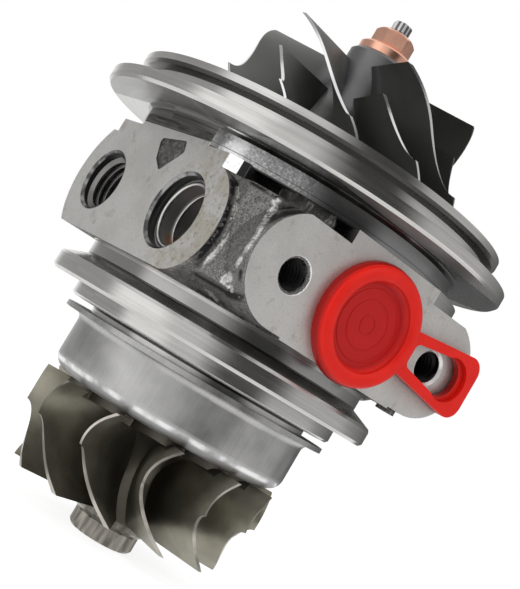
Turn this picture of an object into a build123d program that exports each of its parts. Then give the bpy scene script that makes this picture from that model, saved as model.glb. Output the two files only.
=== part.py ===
from build123d import *
import os
from math import cos, pi, radians, sin, sqrt

# Turbocharger cartridge: the turned and cast centre section with its rotor, bearings and seals.
# +Z runs along the shaft towards the compressor and z = 0 is the clamping face of the small
# V flange. The oil drain pad faces -Y and the coolant pad faces -X. Lengths are millimetres.
# Each piece is written to a STEP file of its own in parts/.

# Compressor-side flange, its pilot lip and the groove between them
FLANGE_R = 44.8
FLANGE_TOP = 39.2
FLANGE_THICK = 2.5
FLANGE_CHAMFER = 0.6
LIP_R = 40.6
LIP_EDGE = 1.3
FACE_Z = 44.6
GROOVE_R = 38.4
GROOVE_WIDTH = 2.8
COLLAR_R = 38.0
COLLAR_TOP = 32.2
COLLAR_HEIGHT = 2.8
NECK_R = 34.7
NECK_FILLET = 0.8

# Turbine-side V flange, pilot ring and heat-shield land
V_R = 35.3
V_RIM = 3.8
V_ROOT_Z = 5.6
V_EDGE = 0.6
TURBINE_NECK_R = 30.6
PILOT_R = 29.3
PILOT_LENGTH = 2.7
PILOT_CHAMFER = 0.5
LAND_R = 24.2
LAND_LENGTH = 6.2
NOSE_R = 13.5

# Casting between the two turned ends
CASTING_BOTTOM = 8.7
DRUM_R = 38.3
CORNER_FLAT_X = 30.2
CORNER_FLAT_Y = 31.6
CORNER_WIDTH = 3.9
CORNER_ROUND = 1.3
CORNER_TAPER_R = 31.6
CORNER_TAPER_RISE = 4.6
CORNER_TAPER_OUT = 45.5
CORNER_TAPER_LIP = 0.4
POCKET_R = 32.4
POCKET_FROM = -141.5
POCKET_TO = -108.2
PORT_Z = 19.2
LUG_R = 1.9
LUG_LOW = 8.1
LUG_TOP = 12.0
LUG_X = 17.2
LUG_Y = -33.6

# Drain pad on the -Y side
DRAIN_FACE = 36.1
DRAIN_SPACING = 38.0
EAR_R = 10.5
EAR_INSET = 0.5
EAR_LIFT = 0.4
PAD_HALF_WIDTH = 11.9
PAD_FOOT_HALF = 15.0
DRAIN_BORE_R = 8.5
DRAIN_SCREW_R = 3.0
DRAIN_SCREW_DEPTH = 15.0
DRAIN_SCREW_CHAMFER = 0.5
DRAIN_MILL_TOP = 32.7
DRAIN_WALL = 3.5
THROAT_WIDTH = 12.2
THRUST_DRAIN_WIDTH = 14.0
THRUST_DRAIN_DEPTH = 7.0
TURBINE_DRAIN_WIDTH = 7.0
TURBINE_DRAIN_DEPTH = 3.0
TURBINE_DRAIN_WALL = 1.7

# Coolant pad on the -X side
SIDE_FACE = 32.4
SIDE_MILL_TOP = 34.5
SIDE_NEAR_Y = -17.6
SIDE_NEAR_R = 10.6
SIDE_FAR_Y = 9.2
SIDE_FAR_R = 16.0
SIDE_TOP_HALF = 20.0
SIDE_TOP_HEIGHT = 10.0
THREADED_PORT_Y = 14.8
THREADED_PORT_R = 6.0
THREADED_PORT_DEPTH = 13.0
THREADED_PORT_CHAMFER = 0.5
STEPPED_PORT_Y = -13.7
STEPPED_PORT_MOUTH_R = 7.2
STEPPED_PORT_CHAMFER = 0.5
STEPPED_PORT_STEP = 2.4
STEPPED_PORT_R = 6.1
SCAR_DEPTH = 0.3
SCAR_ROUND = 0.7
SCAR_CORNERS = ((3.4, 30.9), (-5.4, 31.8), (-6.6, 29.6), (-1.8, 24.8), (1.2, 26.8))

# Oil feed on the +Y side and core plug on the +X side
FEED_FACE = 40.5
FEED_BOSS_R = 10.5
FEED_R = 5.0
FEED_DEPTH = 11.0
FEED_CHAMFER = 0.5
FEED_DRILL_R = 2.0
FEED_END = 15.5
GALLERY_R = 0.9
PLUG_R = 8.0
PLUG_INSET = 5.3
PLUG_WALL = 1.2
PLUG_DEPTH = 4.0
CORE_HOLE_R = 6.5
PLUG_BOSS_R = 11.0
PLUG_BOSS_FACE = 39.0

# Coolant jacket around the turbine-side bearing
JACKET_IN = 14.0
JACKET_OUT = 21.5
JACKET_BOTTOM = 1.6
JACKET_RING = 5.6
JACKET_TOP = 26.0
JACKET_POCKET_IN = 15.5
JACKET_POCKETS = ((112.0, 236.0), (-40.0, 40.0))

# Shaft and journals
JOURNAL_R = 4.0
WAIST_R = 3.5
STUD_R = 2.7
STUD_SHOULDER = 32.9
THREAD_R = 2.45
THREAD_START = 68.0
THREAD_END = 76.0
THREAD_CHAMFER = 0.4
DRIVE_ACROSS = 3.8
DRIVE_LENGTH = 2.1
DRIVE_CHAMFER = 0.3
DRIVE_TURN = 4.0
BOSS_R = 8.0
BOSS_TOP = -9.2
WELD_Z = -15.5
SLINGER_R = 6.4
SLINGER_TOP = -7.4
SLINGER_RAMP = 0.6
JOURNAL_RAMP = 1.2
WAIST_RAMP = 1.0
STACK_GAP = 0.05

# Floating journal bearings and their rings
BEARING_BORE_R = 7.0
BEARING_LENGTH = 8.0
RUNNING_GAP = 0.05
BEARING_HOLE_R = 0.8
BEARING_HOLES = 6
BEARING_CHAMFER = 0.3
TURBINE_BORE_BOTTOM = 0.0
TURBINE_BORE_TOP = 11.0
TURBINE_BEARING_Z = 1.5
COMPRESSOR_BEARING_Z = 24.6
COMPRESSOR_BORE_BOTTOM = 23.2
SNAP_THICK = 0.8
SNAP_DEPTH = 0.6
SNAP_PLAY = 0.1
SNAP_GAP = 2.2
CAVITY_R = 7.6

# Seals
SEAL_BORE_R = 8.4
RING_THICK = 1.4
RING_PLAY = 0.1
RING_DEPTH = 1.9
RING_SPLIT = 0.3
TURBINE_RING_LOW = -13.9
TURBINE_RING_HIGH = -11.6
OIL_CAVITY_R = 11.5
OIL_CAVITY_BOTTOM = -8.6

# Thrust bearing, collars, baffle and seal plate
THRUST_FLOOR = 34.0
THRUST_THICK = 3.2
THRUST_R = 15.4
THRUST_BORE_R = 5.6
THRUST_FLOAT = 0.1
COLLAR_DISC_R = 7.6
COLLAR_DISC = 1.2
WASHER_POCKET_R = 8.6
WASHER_POCKET_PLAY = 0.3
THRUST_PADS = 6
THRUST_GROOVE_WIDTH = 1.0
THRUST_GROOVE_DEPTH = 0.25
THRUST_RELIEF_WIDTH = 12.0
THRUST_RELIEF_DEPTH = 3.5
PIN_R = 1.2
PIN_LENGTH = 7.0
PIN_CIRCLE_R = 12.6
PIN_CHAMFER = 0.2
BAFFLE_THICK = 0.8
BAFFLE_R = 20.0
BAFFLE_PLAY = 0.8
TONGUE_WIDTH = 8.0
TONGUE_LENGTH = 2.2
TONGUE_PLAY = 0.9
STEP_R = 20.4
PLATE_POCKET_R = 27.0
PLATE_GAP = 0.05
PLATE_THICK = 4.9
PLATE_BORE_R = 7.4
PLATE_CHAMFER = 0.5
PLATE_RING_DEPTH = 1.3
FLINGER_R = 9.0
FLINGER_THICK = 1.0
FLINGER_POCKET_R = 9.7
FLINGER_POCKET_DEPTH = 2.2
SLEEVE_R = 7.1
SLEEVE_TOP = 44.0
O_RING_THICK = 1.8
O_RING_LIFT = 1.7
CIRCLIP_THICK = 1.1
CIRCLIP_DEPTH = 1.4
CIRCLIP_WIDTH = 2.2
CIRCLIP_GAP = 11.0
CIRCLIP_EAR_R = 2.1
CIRCLIP_HOLE_R = 0.9

# Heat shield
SHIELD_RIM_R = 29.1
SHIELD_R = 25.6
SHIELD_WALL = 1.0
SHIELD_RIM_Z = -4.1
SHIELD_DEPTH = 11.2
SHIELD_FILLET = 1.4
SHIELD_ROUND = 3.0
SHIELD_HOLE_R = 9.3

# Blades of both wheels
BLADE_SINK = 0.8
BLADE_SETBACK = 0.02
COMP_BARS = 12
TURB_BARS = 10

# Compressor wheel
COMP_R = 29.0
COMP_INLET_R = 23.4
COMP_INLET_Z = 65.5
COMP_TIP_Z = 50.0
COMP_DISC_FRONT = 46.3
COMP_DISC_EDGE = 1.05
COMP_BACK_BOSS_R = 9.5
COMP_NOSE_Z = 69.3
COMP_NOSE_R = 6.9
COMP_NOSE_CHAMFER = 0.8
COMP_HUB_R = 7.0
COMP_HUB_BEND_Z = 62.0
COMP_SHROUD_BEND_Z = 58.5
COMP_SPLITTER_Z = 58.0
COMP_BLADES = 6
COMP_TWIST = (109.5, -171.5, 211.2, -94.5)
COMP_PHASE = 186.9
COMP_LEAN = 2.1
COMP_ROOT = 1.3
COMP_TIP = 0.35

# Compressor nut
NUT_ACROSS = 7.6
NUT_FLANGE_R = 5.9
NUT_FLANGE = 2.0
NUT_CONE = 0.9
NUT_TOP = 75.4
NUT_CHAMFER = 0.7
NUT_FACE_R = 3.5
NUT_EDGE = 0.4
NUT_TURN = 24.0

# Turbine wheel
TURB_R = 26.1
TURB_BACK = -16.6
TURB_CORNER_Z = -25.0
TURB_EXIT_R = 22.7
TURB_EXIT_Z = -35.6
TURB_EXIT_STRAIGHT = 2.0
TURB_DISC = 1.5
TURB_DISC_R = 21.0
TURB_HUB_TOP_R = 17.0
TURB_HUB_R = 7.3
TURB_HUB_BEND_Z = -27.0
TURB_HUB_END_R = 8.3
TURB_HUB_END_Z = -36.9
TURB_BLADES = 12
TURB_TWIST = (-48.1, 66.7)
TURB_PHASE = 186.5
TURB_ROOT = 2.0
TURB_TIP = 0.4
TURB_BLADE_INSET = 0.3
SCALLOP_R = 4.9
SCALLOP_CENTRE_R = 22.4
TURB_NOSE_R = 6.95
TURB_NOSE_TOP = -38.0
TURB_NOSE_END = -41.4
TURB_NOSE_CHAMFER = 0.6
TURB_NOSE_NECK_R = 6.65
TURB_NOSE_POINTS = 12

# Drain cap
CAP_R = 11.65
CAP_FLANGE = 2.1
CAP_ROUND = 1.3
CAP_RECESS_R = 7.7
CAP_RECESS_MOUTH_R = 9.0
CAP_RECESS = 1.3
CAP_RIM_ROUND = 0.8
CAP_SKIRT_GAP = 0.3
CAP_SKIRT = 8.0
CAP_WALL = 1.4
LOOP_SINK = 1.55
LOOP_HOLE_SINK = 0.55
LOOP_LIFT = 0.35
LOOP_THICK = 2.3
LOOP_REACH = 28.9
LOOP_ROOT_HALF = 4.3
LOOP_END_HALF = 6.7
LOOP_CORNER = 3.0
EYE_ROOT_HALF = 2.3
EYE_END_HALF = 4.6
EYE_END_WALL = 3.4
EYE_ROOT_ROUND = 1.2
EYE_END_ROUND = 3.9
EYE_STEP_R = 4.4
EYE_STEP_IN = 6.4
EYE_STEP_DEPTH = 0.9

# How far the cutting tools reach past the largest piece
CUT_MARGIN = 10.0

# Places that follow from the sizes above
COLLAR_LOW = COLLAR_TOP - COLLAR_HEIGHT
THRUST_TOP = THRUST_FLOOR + THRUST_THICK
PLUG_SEAT = DRUM_R - PLUG_INSET
PLATE_FLOOR = THRUST_TOP + BAFFLE_THICK
PLATE_TOP = PLATE_FLOOR + PLATE_THICK
PLATE_RING_LOW = PLATE_TOP - RING_THICK - 4 * RING_PLAY
SHIELD_END_Z = SHIELD_RIM_Z - SHIELD_WALL - SHIELD_DEPTH
NOSE_END = SHIELD_END_Z + SHIELD_WALL
COMP_BACK = COMP_DISC_FRONT - COMP_DISC_EDGE
TURB_DISC_LOW = TURB_BACK - TURB_DISC
OUTSIDE = FLANGE_R + CUT_MARGIN


def turned(*outline):
    """Solid of revolution about the shaft, from (radius, height) corners."""
    return revolve(Face(Wire.make_polygon([(r, 0, z) for r, z in outline])), Axis.Z)


def disc(radius, bottom, top):
    """Plain cylinder on the shaft axis."""
    body = Cylinder(radius, top - bottom, align=(Align.CENTER, Align.CENTER, Align.MIN))
    return Pos(0, 0, bottom) * body


def ring(inner, outer, bottom, top):
    """Plain ring on the shaft axis."""
    return disc(outer, bottom, top) - disc(inner, bottom - 1, top + 1)


def drilled(radius, start, direction, length):
    """Cylinder from a point along a direction, for holes and studs."""
    plane = Plane(origin=start, z_dir=direction)
    return plane * Cylinder(radius, length, align=(Align.CENTER, Align.CENTER, Align.MIN))


def mouth(radius, chamfer, start, direction):
    """Countersink at the mouth of a hole; start lies on the face and direction points into it."""
    plane = Plane(origin=start, z_dir=direction)
    cone = Cone(radius + chamfer, radius, chamfer, align=(Align.CENTER, Align.CENTER, Align.MIN))
    return plane * cone


def wedge(start, end, reach, bottom, top):
    """Upright sector of the given reach between two azimuths in degrees."""
    steps = max(2, int((end - start) / 20) + 1)
    rim = [start + (end - start) * i / steps for i in range(steps + 1)]
    points = [(0, 0)] + [(reach * cos(radians(a)), reach * sin(radians(a))) for a in rim]
    face = Face(Wire.make_polygon([(x, y, bottom) for x, y in points]))
    return extrude(face, amount=top - bottom, dir=(0, 0, 1))


def split(width, inner, outer, bottom, top):
    """Small block that opens a ring on its +X side."""
    length = outer - inner
    block = Box(length, width, top - bottom, align=(Align.MIN, Align.CENTER, Align.MIN))
    return Pos(inner, 0, bottom) * block


def slot(width, near, far, bottom, top):
    """Block across the -Y side between two distances from the shaft, for the cast drain passages."""
    block = Box(width, far - near, top - bottom, align=(Align.CENTER, Align.MAX, Align.MIN))
    return Pos(0, -near, bottom) * block


def turned_body():
    """Everything on the housing that is machined on the lathe, still without bores."""
    flange_bottom = FLANGE_TOP - FLANGE_THICK
    lip_bottom = FACE_Z - LIP_EDGE
    groove_top = FLANGE_TOP + GROOVE_WIDTH
    return turned(
        (0, NOSE_END), (NOSE_R, NOSE_END), (LAND_R, -PILOT_LENGTH - LAND_LENGTH), (LAND_R, -PILOT_LENGTH),
        (PILOT_R - PILOT_CHAMFER, -PILOT_LENGTH), (PILOT_R, PILOT_CHAMFER - PILOT_LENGTH), (PILOT_R, 0),
        (V_R - V_EDGE, 0), (V_R, V_EDGE), (V_R, V_RIM - V_EDGE), (V_R - V_EDGE / 2, V_RIM),
        (TURBINE_NECK_R, V_ROOT_Z), (TURBINE_NECK_R, CASTING_BOTTOM + 1),
        (POCKET_R, CASTING_BOTTOM + 1), (POCKET_R, COLLAR_TOP), (NECK_R, COLLAR_TOP),
        (NECK_R, flange_bottom - NECK_FILLET), (NECK_R + NECK_FILLET, flange_bottom),
        (FLANGE_R - FLANGE_CHAMFER, flange_bottom), (FLANGE_R, flange_bottom + FLANGE_CHAMFER),
        (FLANGE_R, FLANGE_TOP), (GROOVE_R, FLANGE_TOP), (GROOVE_R, groove_top),
        (LIP_R - FLANGE_CHAMFER, lip_bottom - FLANGE_CHAMFER), (LIP_R, lip_bottom), (LIP_R, FACE_Z),
        (0, FACE_Z))


def side_pad_outline():
    """Coolant pad seen along X: a small arc at one end and a larger one at the other."""
    near = Pos(SIDE_NEAR_Y, PORT_Z) * Circle(SIDE_NEAR_R)
    far = Pos(SIDE_FAR_Y, PORT_Z) * Circle(SIDE_FAR_R)
    centre_y = (SIDE_NEAR_Y + SIDE_FAR_Y) / 2
    middle = Pos(centre_y, PORT_Z) * Rectangle(SIDE_FAR_Y - SIDE_NEAR_Y, 2 * SIDE_NEAR_R)
    top = Pos(0, COLLAR_TOP - SIDE_TOP_HEIGHT / 2) * Rectangle(2 * SIDE_TOP_HALF, SIDE_TOP_HEIGHT)
    return near + far + middle + top


def drain_pad_outline():
    """Drain pad seen along Y: two ears joined by a taller middle block."""
    ear_x = DRAIN_SPACING / 2 - EAR_INSET
    ear_z = PORT_Z + EAR_LIFT
    ears = [Pos(side * ear_x, ear_z) * Circle(EAR_R) for side in (-1, 1)]
    bridge = Pos(0, ear_z) * Rectangle(2 * ear_x, 2 * EAR_R)
    height = COLLAR_TOP - CASTING_BOTTOM
    middle = Pos(0, CASTING_BOTTOM + height / 2) * Rectangle(2 * PAD_HALF_WIDTH, height)
    foot_height = PORT_Z - CASTING_BOTTOM
    foot = Pos(0, CASTING_BOTTOM + foot_height / 2) * Rectangle(2 * PAD_FOOT_HALF, foot_height)
    return ears[0] + ears[1] + bridge + middle + foot


def casting():
    """Cast block between the flanges, with its pads, still without bores."""
    band = (CASTING_BOTTOM, COLLAR_TOP)
    height = COLLAR_TOP - CASTING_BOTTOM
    drum = disc(DRUM_R, *band)
    corner_face = Face(Wire.make_polygon([
        (0, 0, CASTING_BOTTOM), (-CORNER_FLAT_X, 0, CASTING_BOTTOM),
        (-CORNER_FLAT_X, CORNER_WIDTH - CORNER_FLAT_Y, CASTING_BOTTOM),
        (CORNER_WIDTH - CORNER_FLAT_X, -CORNER_FLAT_Y, CASTING_BOTTOM),
        (0, -CORNER_FLAT_Y, CASTING_BOTTOM)]))
    ridges = corner_face.vertices().sort_by(lambda vertex: vertex.X + vertex.Y)[:2]
    corner_face = fillet(ridges, CORNER_ROUND)
    body = drum + extrude(corner_face, amount=height, dir=(0, 0, 1))

    taper_top = CASTING_BOTTOM + CORNER_TAPER_RISE
    body -= turned(
        (CORNER_TAPER_R, CASTING_BOTTOM - 1), (OUTSIDE, CASTING_BOTTOM - 1), (OUTSIDE, taper_top),
        (CORNER_TAPER_OUT, taper_top), (CORNER_TAPER_R, CASTING_BOTTOM + CORNER_TAPER_LIP))

    body += extrude(Plane.YZ * side_pad_outline(), amount=-SIDE_FACE)
    body += extrude(Plane.XZ * drain_pad_outline(), amount=DRAIN_FACE)
    body += drilled(FEED_BOSS_R, (0, 0, PORT_Z), (0, 1, 0), FEED_FACE)
    body += drilled(PLUG_BOSS_R, (0, 0, PORT_Z), (1, 0, 0), PLUG_BOSS_FACE)
    body &= disc(OUTSIDE, *band)
    body += Pos(LUG_X, LUG_Y, 0) * disc(LUG_R, LUG_LOW, LUG_TOP)

    turned_off = ring(COLLAR_R, OUTSIDE, COLLAR_LOW, COLLAR_TOP + 1)
    corner = wedge(POCKET_FROM, POCKET_TO, OUTSIDE, COLLAR_LOW - 1, COLLAR_TOP + 1)
    pocket = corner & ring(POCKET_R, OUTSIDE, COLLAR_LOW, COLLAR_TOP + 1)
    return body - turned_off - pocket


def side_scar():
    """Rough triangular hollow that the casting leaves in the coolant pad."""
    face = make_face(Plane.YZ * Polyline(*SCAR_CORNERS, close=True))
    face = fillet(face.vertices(), SCAR_ROUND)
    return Pos(-SIDE_FACE, 0, 0) * extrude(face, amount=SCAR_DEPTH, dir=(1, 0, 0))


def jacket():
    """Coolant space: a ring round the turbine bearing with two pockets rising from it."""
    space = ring(JACKET_IN, JACKET_OUT, JACKET_BOTTOM, JACKET_BOTTOM + JACKET_RING)
    tall = ring(JACKET_POCKET_IN, JACKET_OUT, JACKET_BOTTOM + 1, JACKET_TOP)
    for start, end in JACKET_POCKETS:
        space += tall & wedge(start, end, OUTSIDE, JACKET_BOTTOM, JACKET_TOP)
    return space


def bores():
    """Every hole and hollow inside the housing."""
    journals = disc(BEARING_BORE_R, TURBINE_BORE_BOTTOM - 1, THRUST_FLOOR + 1)
    cuts = [
        disc(SEAL_BORE_R, NOSE_END - 1, OIL_CAVITY_BOTTOM + 1),
        disc(OIL_CAVITY_R, OIL_CAVITY_BOTTOM, TURBINE_BORE_BOTTOM),
        journals,
        disc(CAVITY_R, TURBINE_BORE_TOP, COMPRESSOR_BORE_BOTTOM),
        disc(WASHER_POCKET_R, STUD_SHOULDER - WASHER_POCKET_PLAY, THRUST_FLOOR + 1),
        disc(STEP_R, THRUST_FLOOR, FACE_Z),
        disc(PLATE_POCKET_R + PLATE_GAP, PLATE_FLOOR, FACE_Z + 1),
        disc(PLATE_POCKET_R + CIRCLIP_DEPTH, PLATE_TOP, PLATE_TOP + CIRCLIP_THICK + SNAP_PLAY),
        jacket(),
    ]
    for low in snap_ring_heights():
        cuts.append(disc(BEARING_BORE_R + SNAP_DEPTH + SNAP_PLAY, low - SNAP_PLAY / 2,
                         low + SNAP_THICK + SNAP_PLAY / 2))

    drain_end = BEARING_BORE_R + DRAIN_WALL
    cuts.append(drilled(DRAIN_BORE_R, (0, -DRAIN_FACE, PORT_Z), (0, 1, 0), DRAIN_FACE - drain_end))
    cuts.append(slot(THROAT_WIDTH, 0, drain_end + 1, TURBINE_BORE_TOP, COMPRESSOR_BORE_BOTTOM))
    cuts.append(slot(THRUST_DRAIN_WIDTH, drain_end, drain_end + THRUST_DRAIN_DEPTH, PORT_Z, THRUST_FLOOR + 1))
    near = BEARING_BORE_R + TURBINE_DRAIN_WALL
    cuts.append(slot(TURBINE_DRAIN_WIDTH, near, near + TURBINE_DRAIN_DEPTH, TURBINE_BORE_BOTTOM - 1, PORT_Z))

    for side in (-1, 1):
        start = (side * DRAIN_SPACING / 2, -DRAIN_FACE, PORT_Z)
        cuts.append(drilled(DRAIN_SCREW_R, start, (0, 1, 0), DRAIN_SCREW_DEPTH))
        cuts.append(mouth(DRAIN_SCREW_R, DRAIN_SCREW_CHAMFER, start, (0, 1, 0)))

    port = (-SIDE_FACE, THREADED_PORT_Y, PORT_Z)
    cuts.append(drilled(THREADED_PORT_R, port, (1, 0, 0), THREADED_PORT_DEPTH))
    cuts.append(mouth(THREADED_PORT_R, THREADED_PORT_CHAMFER, port, (1, 0, 0)))
    port = (-SIDE_FACE, STEPPED_PORT_Y, PORT_Z)
    cuts.append(drilled(STEPPED_PORT_MOUTH_R, port, (1, 0, 0), STEPPED_PORT_STEP))
    cuts.append(mouth(STEPPED_PORT_MOUTH_R, STEPPED_PORT_CHAMFER, port, (1, 0, 0)))
    cuts.append(drilled(STEPPED_PORT_R, port, (1, 0, 0), THREADED_PORT_DEPTH))
    cuts.append(side_scar())

    feed = (0, FEED_FACE, PORT_Z)
    cuts.append(drilled(FEED_R, feed, (0, -1, 0), FEED_DEPTH))
    cuts.append(mouth(FEED_R, FEED_CHAMFER, feed, (0, -1, 0)))
    cuts.append(drilled(FEED_DRILL_R, feed, (0, -1, 0), FEED_FACE - FEED_END))
    turbine_mid = TURBINE_BEARING_Z + BEARING_LENGTH / 2
    compressor_mid = COMPRESSOR_BEARING_Z + BEARING_LENGTH / 2
    for target in (turbine_mid, compressor_mid):
        run = (0, BEARING_BORE_R - GALLERY_R / 2 - FEED_END, target - PORT_Z)
        length = sqrt(run[1] ** 2 + run[2] ** 2)
        cuts.append(drilled(GALLERY_R, (0, FEED_END, PORT_Z), run, length))

    core_start = (JACKET_POCKET_IN + JACKET_OUT) / 2
    cuts.append(drilled(CORE_HOLE_R, (core_start, 0, PORT_Z), (1, 0, 0), PLUG_SEAT - core_start + 1))
    cuts.append(drilled(PLUG_R, (PLUG_SEAT, 0, PORT_Z), (1, 0, 0), PLUG_BOSS_FACE - PLUG_SEAT + 1))
    for side in (-1, 1):
        pin = (side * PIN_CIRCLE_R, 0, THRUST_TOP - PIN_LENGTH)
        cuts.append(drilled(PIN_R, pin, (0, 0, 1), PIN_LENGTH))
    return cuts


def bearing_housing():
    """One casting, turned at both ends and milled on its pads."""
    body = turned_body() + casting()
    for face, azimuth, top in ((SIDE_FACE, 180, SIDE_MILL_TOP), (DRAIN_FACE, -90, DRAIN_MILL_TOP)):
        height = top - CASTING_BOTTOM + 1
        cutter = Box(OUTSIDE, 2 * OUTSIDE, height, align=(Align.MIN, Align.CENTER, Align.MAX))
        body -= Rot(0, 0, azimuth) * Pos(face, 0, top) * cutter
    for cut in bores():
        body -= cut
    return body


def snap_ring_heights():
    """Lower faces of the three rings that hold the journal bearings."""
    return (TURBINE_BEARING_Z - SNAP_THICK - SNAP_PLAY,
            TURBINE_BEARING_Z + BEARING_LENGTH + SNAP_PLAY,
            COMPRESSOR_BEARING_Z - SNAP_THICK - SNAP_PLAY)


def snap_ring(low):
    """Round wire ring snapped into its groove, open on one side."""
    outer = BEARING_BORE_R + SNAP_DEPTH
    body = ring(BEARING_BORE_R - SNAP_DEPTH, outer, low, low + SNAP_THICK)
    return body - split(SNAP_GAP, 0, outer + 1, low - 1, low + SNAP_THICK + 1)


def journal_bearing(low):
    """Floating bronze bush with a ring of oil holes."""
    outer = BEARING_BORE_R - RUNNING_GAP
    body = ring(JOURNAL_R + RUNNING_GAP, outer, low, low + BEARING_LENGTH)
    body = chamfer(body.edges().filter_by(GeomType.CIRCLE), BEARING_CHAMFER)
    middle = (0, 0, low + BEARING_LENGTH / 2)
    for i in range(BEARING_HOLES):
        angle = 2 * pi * i / BEARING_HOLES
        body -= drilled(BEARING_HOLE_R, middle, (cos(angle), sin(angle), 0), outer + 1)
    return body


def thrust_bearing():
    """Fixed plate with a relieved drain side and shallow oil grooves on its face."""
    body = ring(THRUST_BORE_R, THRUST_R, THRUST_FLOOR, THRUST_TOP)
    body -= slot(THRUST_RELIEF_WIDTH, THRUST_R - THRUST_RELIEF_DEPTH, THRUST_R + 1,
                 THRUST_FLOOR - 1, THRUST_TOP + 1)
    pitch = 360 / THRUST_PADS
    for i in range(THRUST_PADS):
        length = 2 * (COLLAR_DISC_R - THRUST_BORE_R)
        groove = Pos(THRUST_BORE_R, 0, THRUST_TOP) * Box(length, THRUST_GROOVE_WIDTH, 2 * THRUST_GROOVE_DEPTH)
        body -= Rot(0, 0, (i + 0.5) * pitch) * groove
    for side in (-1, 1):
        hole = disc(PIN_R + 2 * STACK_GAP, THRUST_FLOOR - 1, THRUST_TOP + 1)
        body -= Pos(side * PIN_CIRCLE_R, 0, 0) * hole
    return body


def thrust_pins():
    """Two dowels that stop the thrust plate from turning."""
    pin = disc(PIN_R - STACK_GAP, THRUST_TOP - PIN_LENGTH, THRUST_TOP - STACK_GAP)
    pin = chamfer(pin.edges().filter_by(GeomType.CIRCLE), PIN_CHAMFER)
    return Compound(children=[Pos(side * PIN_CIRCLE_R, 0, 0) * pin for side in (-1, 1)])


def thrust_washer():
    """Hardened washer on the shaft shoulder, under the thrust plate."""
    return ring(STUD_R + STACK_GAP, COLLAR_DISC_R, STUD_SHOULDER, THRUST_FLOOR - THRUST_FLOAT)


def thrust_collar():
    """Collar with a hub through the thrust plate and a disc above it."""
    low = THRUST_FLOOR - THRUST_FLOAT
    disc_low = THRUST_TOP + THRUST_FLOAT
    body = disc(THRUST_BORE_R - 3 * THRUST_FLOAT, low, disc_low + COLLAR_DISC)
    body += disc(COLLAR_DISC_R, disc_low, disc_low + COLLAR_DISC)
    return body - disc(STUD_R + STACK_GAP, low - 1, disc_low + COLLAR_DISC + 1)


def seal_sleeve():
    """Oil flinger and seal sleeve in one turned piece, with the groove of the seal ring."""
    low = THRUST_TOP + THRUST_FLOAT + COLLAR_DISC
    groove_low = PLATE_RING_LOW - RING_PLAY
    groove_high = PLATE_RING_LOW + RING_THICK + RING_PLAY
    body = disc(SLEEVE_R, low, SLEEVE_TOP) + disc(FLINGER_R, low, low + FLINGER_THICK)
    body -= ring(PLATE_BORE_R - PLATE_RING_DEPTH, FLINGER_R, groove_low, groove_high)
    return body - disc(STUD_R + STACK_GAP, low - 1, SLEEVE_TOP + 1)


def seal_ring(bore_r, depth, low):
    """Cast-iron piston ring that rests in the bore and runs in its groove, with a fine split."""
    outer = bore_r - RUNNING_GAP / 2
    body = ring(bore_r - depth + 3 * RING_PLAY, outer, low, low + RING_THICK)
    return body - split(RING_SPLIT, 0, outer + 1, low - 1, low + RING_THICK + 1)


def oil_baffle():
    """Thin pressed plate over the thrust bearing, with a tongue down into the drain passage."""
    body = ring(COLLAR_DISC_R + BAFFLE_PLAY, BAFFLE_R, THRUST_TOP, PLATE_FLOOR)
    near = THRUST_R + TONGUE_PLAY
    return body + slot(TONGUE_WIDTH, near, near + BAFFLE_THICK, THRUST_FLOOR - TONGUE_LENGTH, PLATE_FLOOR)


def seal_plate():
    """Insert that closes the bearing space towards the compressor wheel."""
    body = disc(PLATE_POCKET_R, PLATE_FLOOR, PLATE_TOP)
    body = chamfer(body.edges().group_by(Axis.Z)[-1], PLATE_CHAMFER)
    body -= disc(PLATE_BORE_R, PLATE_FLOOR - 1, PLATE_TOP + 1)
    body -= disc(FLINGER_POCKET_R, PLATE_FLOOR - 1, PLATE_FLOOR + FLINGER_POCKET_DEPTH)
    groove_low = PLATE_FLOOR + O_RING_LIFT
    groove_high = groove_low + O_RING_THICK + 4 * STACK_GAP
    return body - ring(PLATE_POCKET_R - O_RING_THICK, PLATE_POCKET_R + 1, groove_low, groove_high)


def plate_o_ring():
    """Rubber ring in the rim of the seal plate."""
    minor = O_RING_THICK / 2 - STACK_GAP
    lift = PLATE_FLOOR + O_RING_LIFT + O_RING_THICK / 2 + 2 * STACK_GAP
    return Pos(0, 0, lift) * Torus(PLATE_POCKET_R - O_RING_THICK / 2, minor)


def retaining_ring():
    """Internal circlip with two plier eyes, over the seal plate."""
    low = PLATE_TOP + SNAP_PLAY / 2
    high = low + CIRCLIP_THICK
    outer = PLATE_POCKET_R + CIRCLIP_DEPTH - SNAP_PLAY
    body = ring(outer - CIRCLIP_WIDTH, outer, low, high)
    body -= split(CIRCLIP_GAP, 0, outer + 1, low - 1, high + 1)
    eye_y = (CIRCLIP_GAP + CIRCLIP_EAR_R) / 2
    eye_x = sqrt((outer - CIRCLIP_EAR_R) ** 2 - eye_y ** 2)
    for side in (-1, 1):
        body += Pos(eye_x, side * eye_y, 0) * disc(CIRCLIP_EAR_R, low, high)
        body -= Pos(eye_x, side * eye_y, 0) * disc(CIRCLIP_HOLE_R, low - 1, high + 1)
    return body


def core_plug():
    """Pressed cup that closes the core hole of the coolant jacket."""
    cup = drilled(PLUG_R - STACK_GAP / 2, (PLUG_SEAT, 0, PORT_Z), (1, 0, 0), PLUG_DEPTH)
    hollow = drilled(PLUG_R - PLUG_WALL, (PLUG_SEAT + PLUG_WALL, 0, PORT_Z), (1, 0, 0), PLUG_DEPTH)
    return cup - hollow


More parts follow.
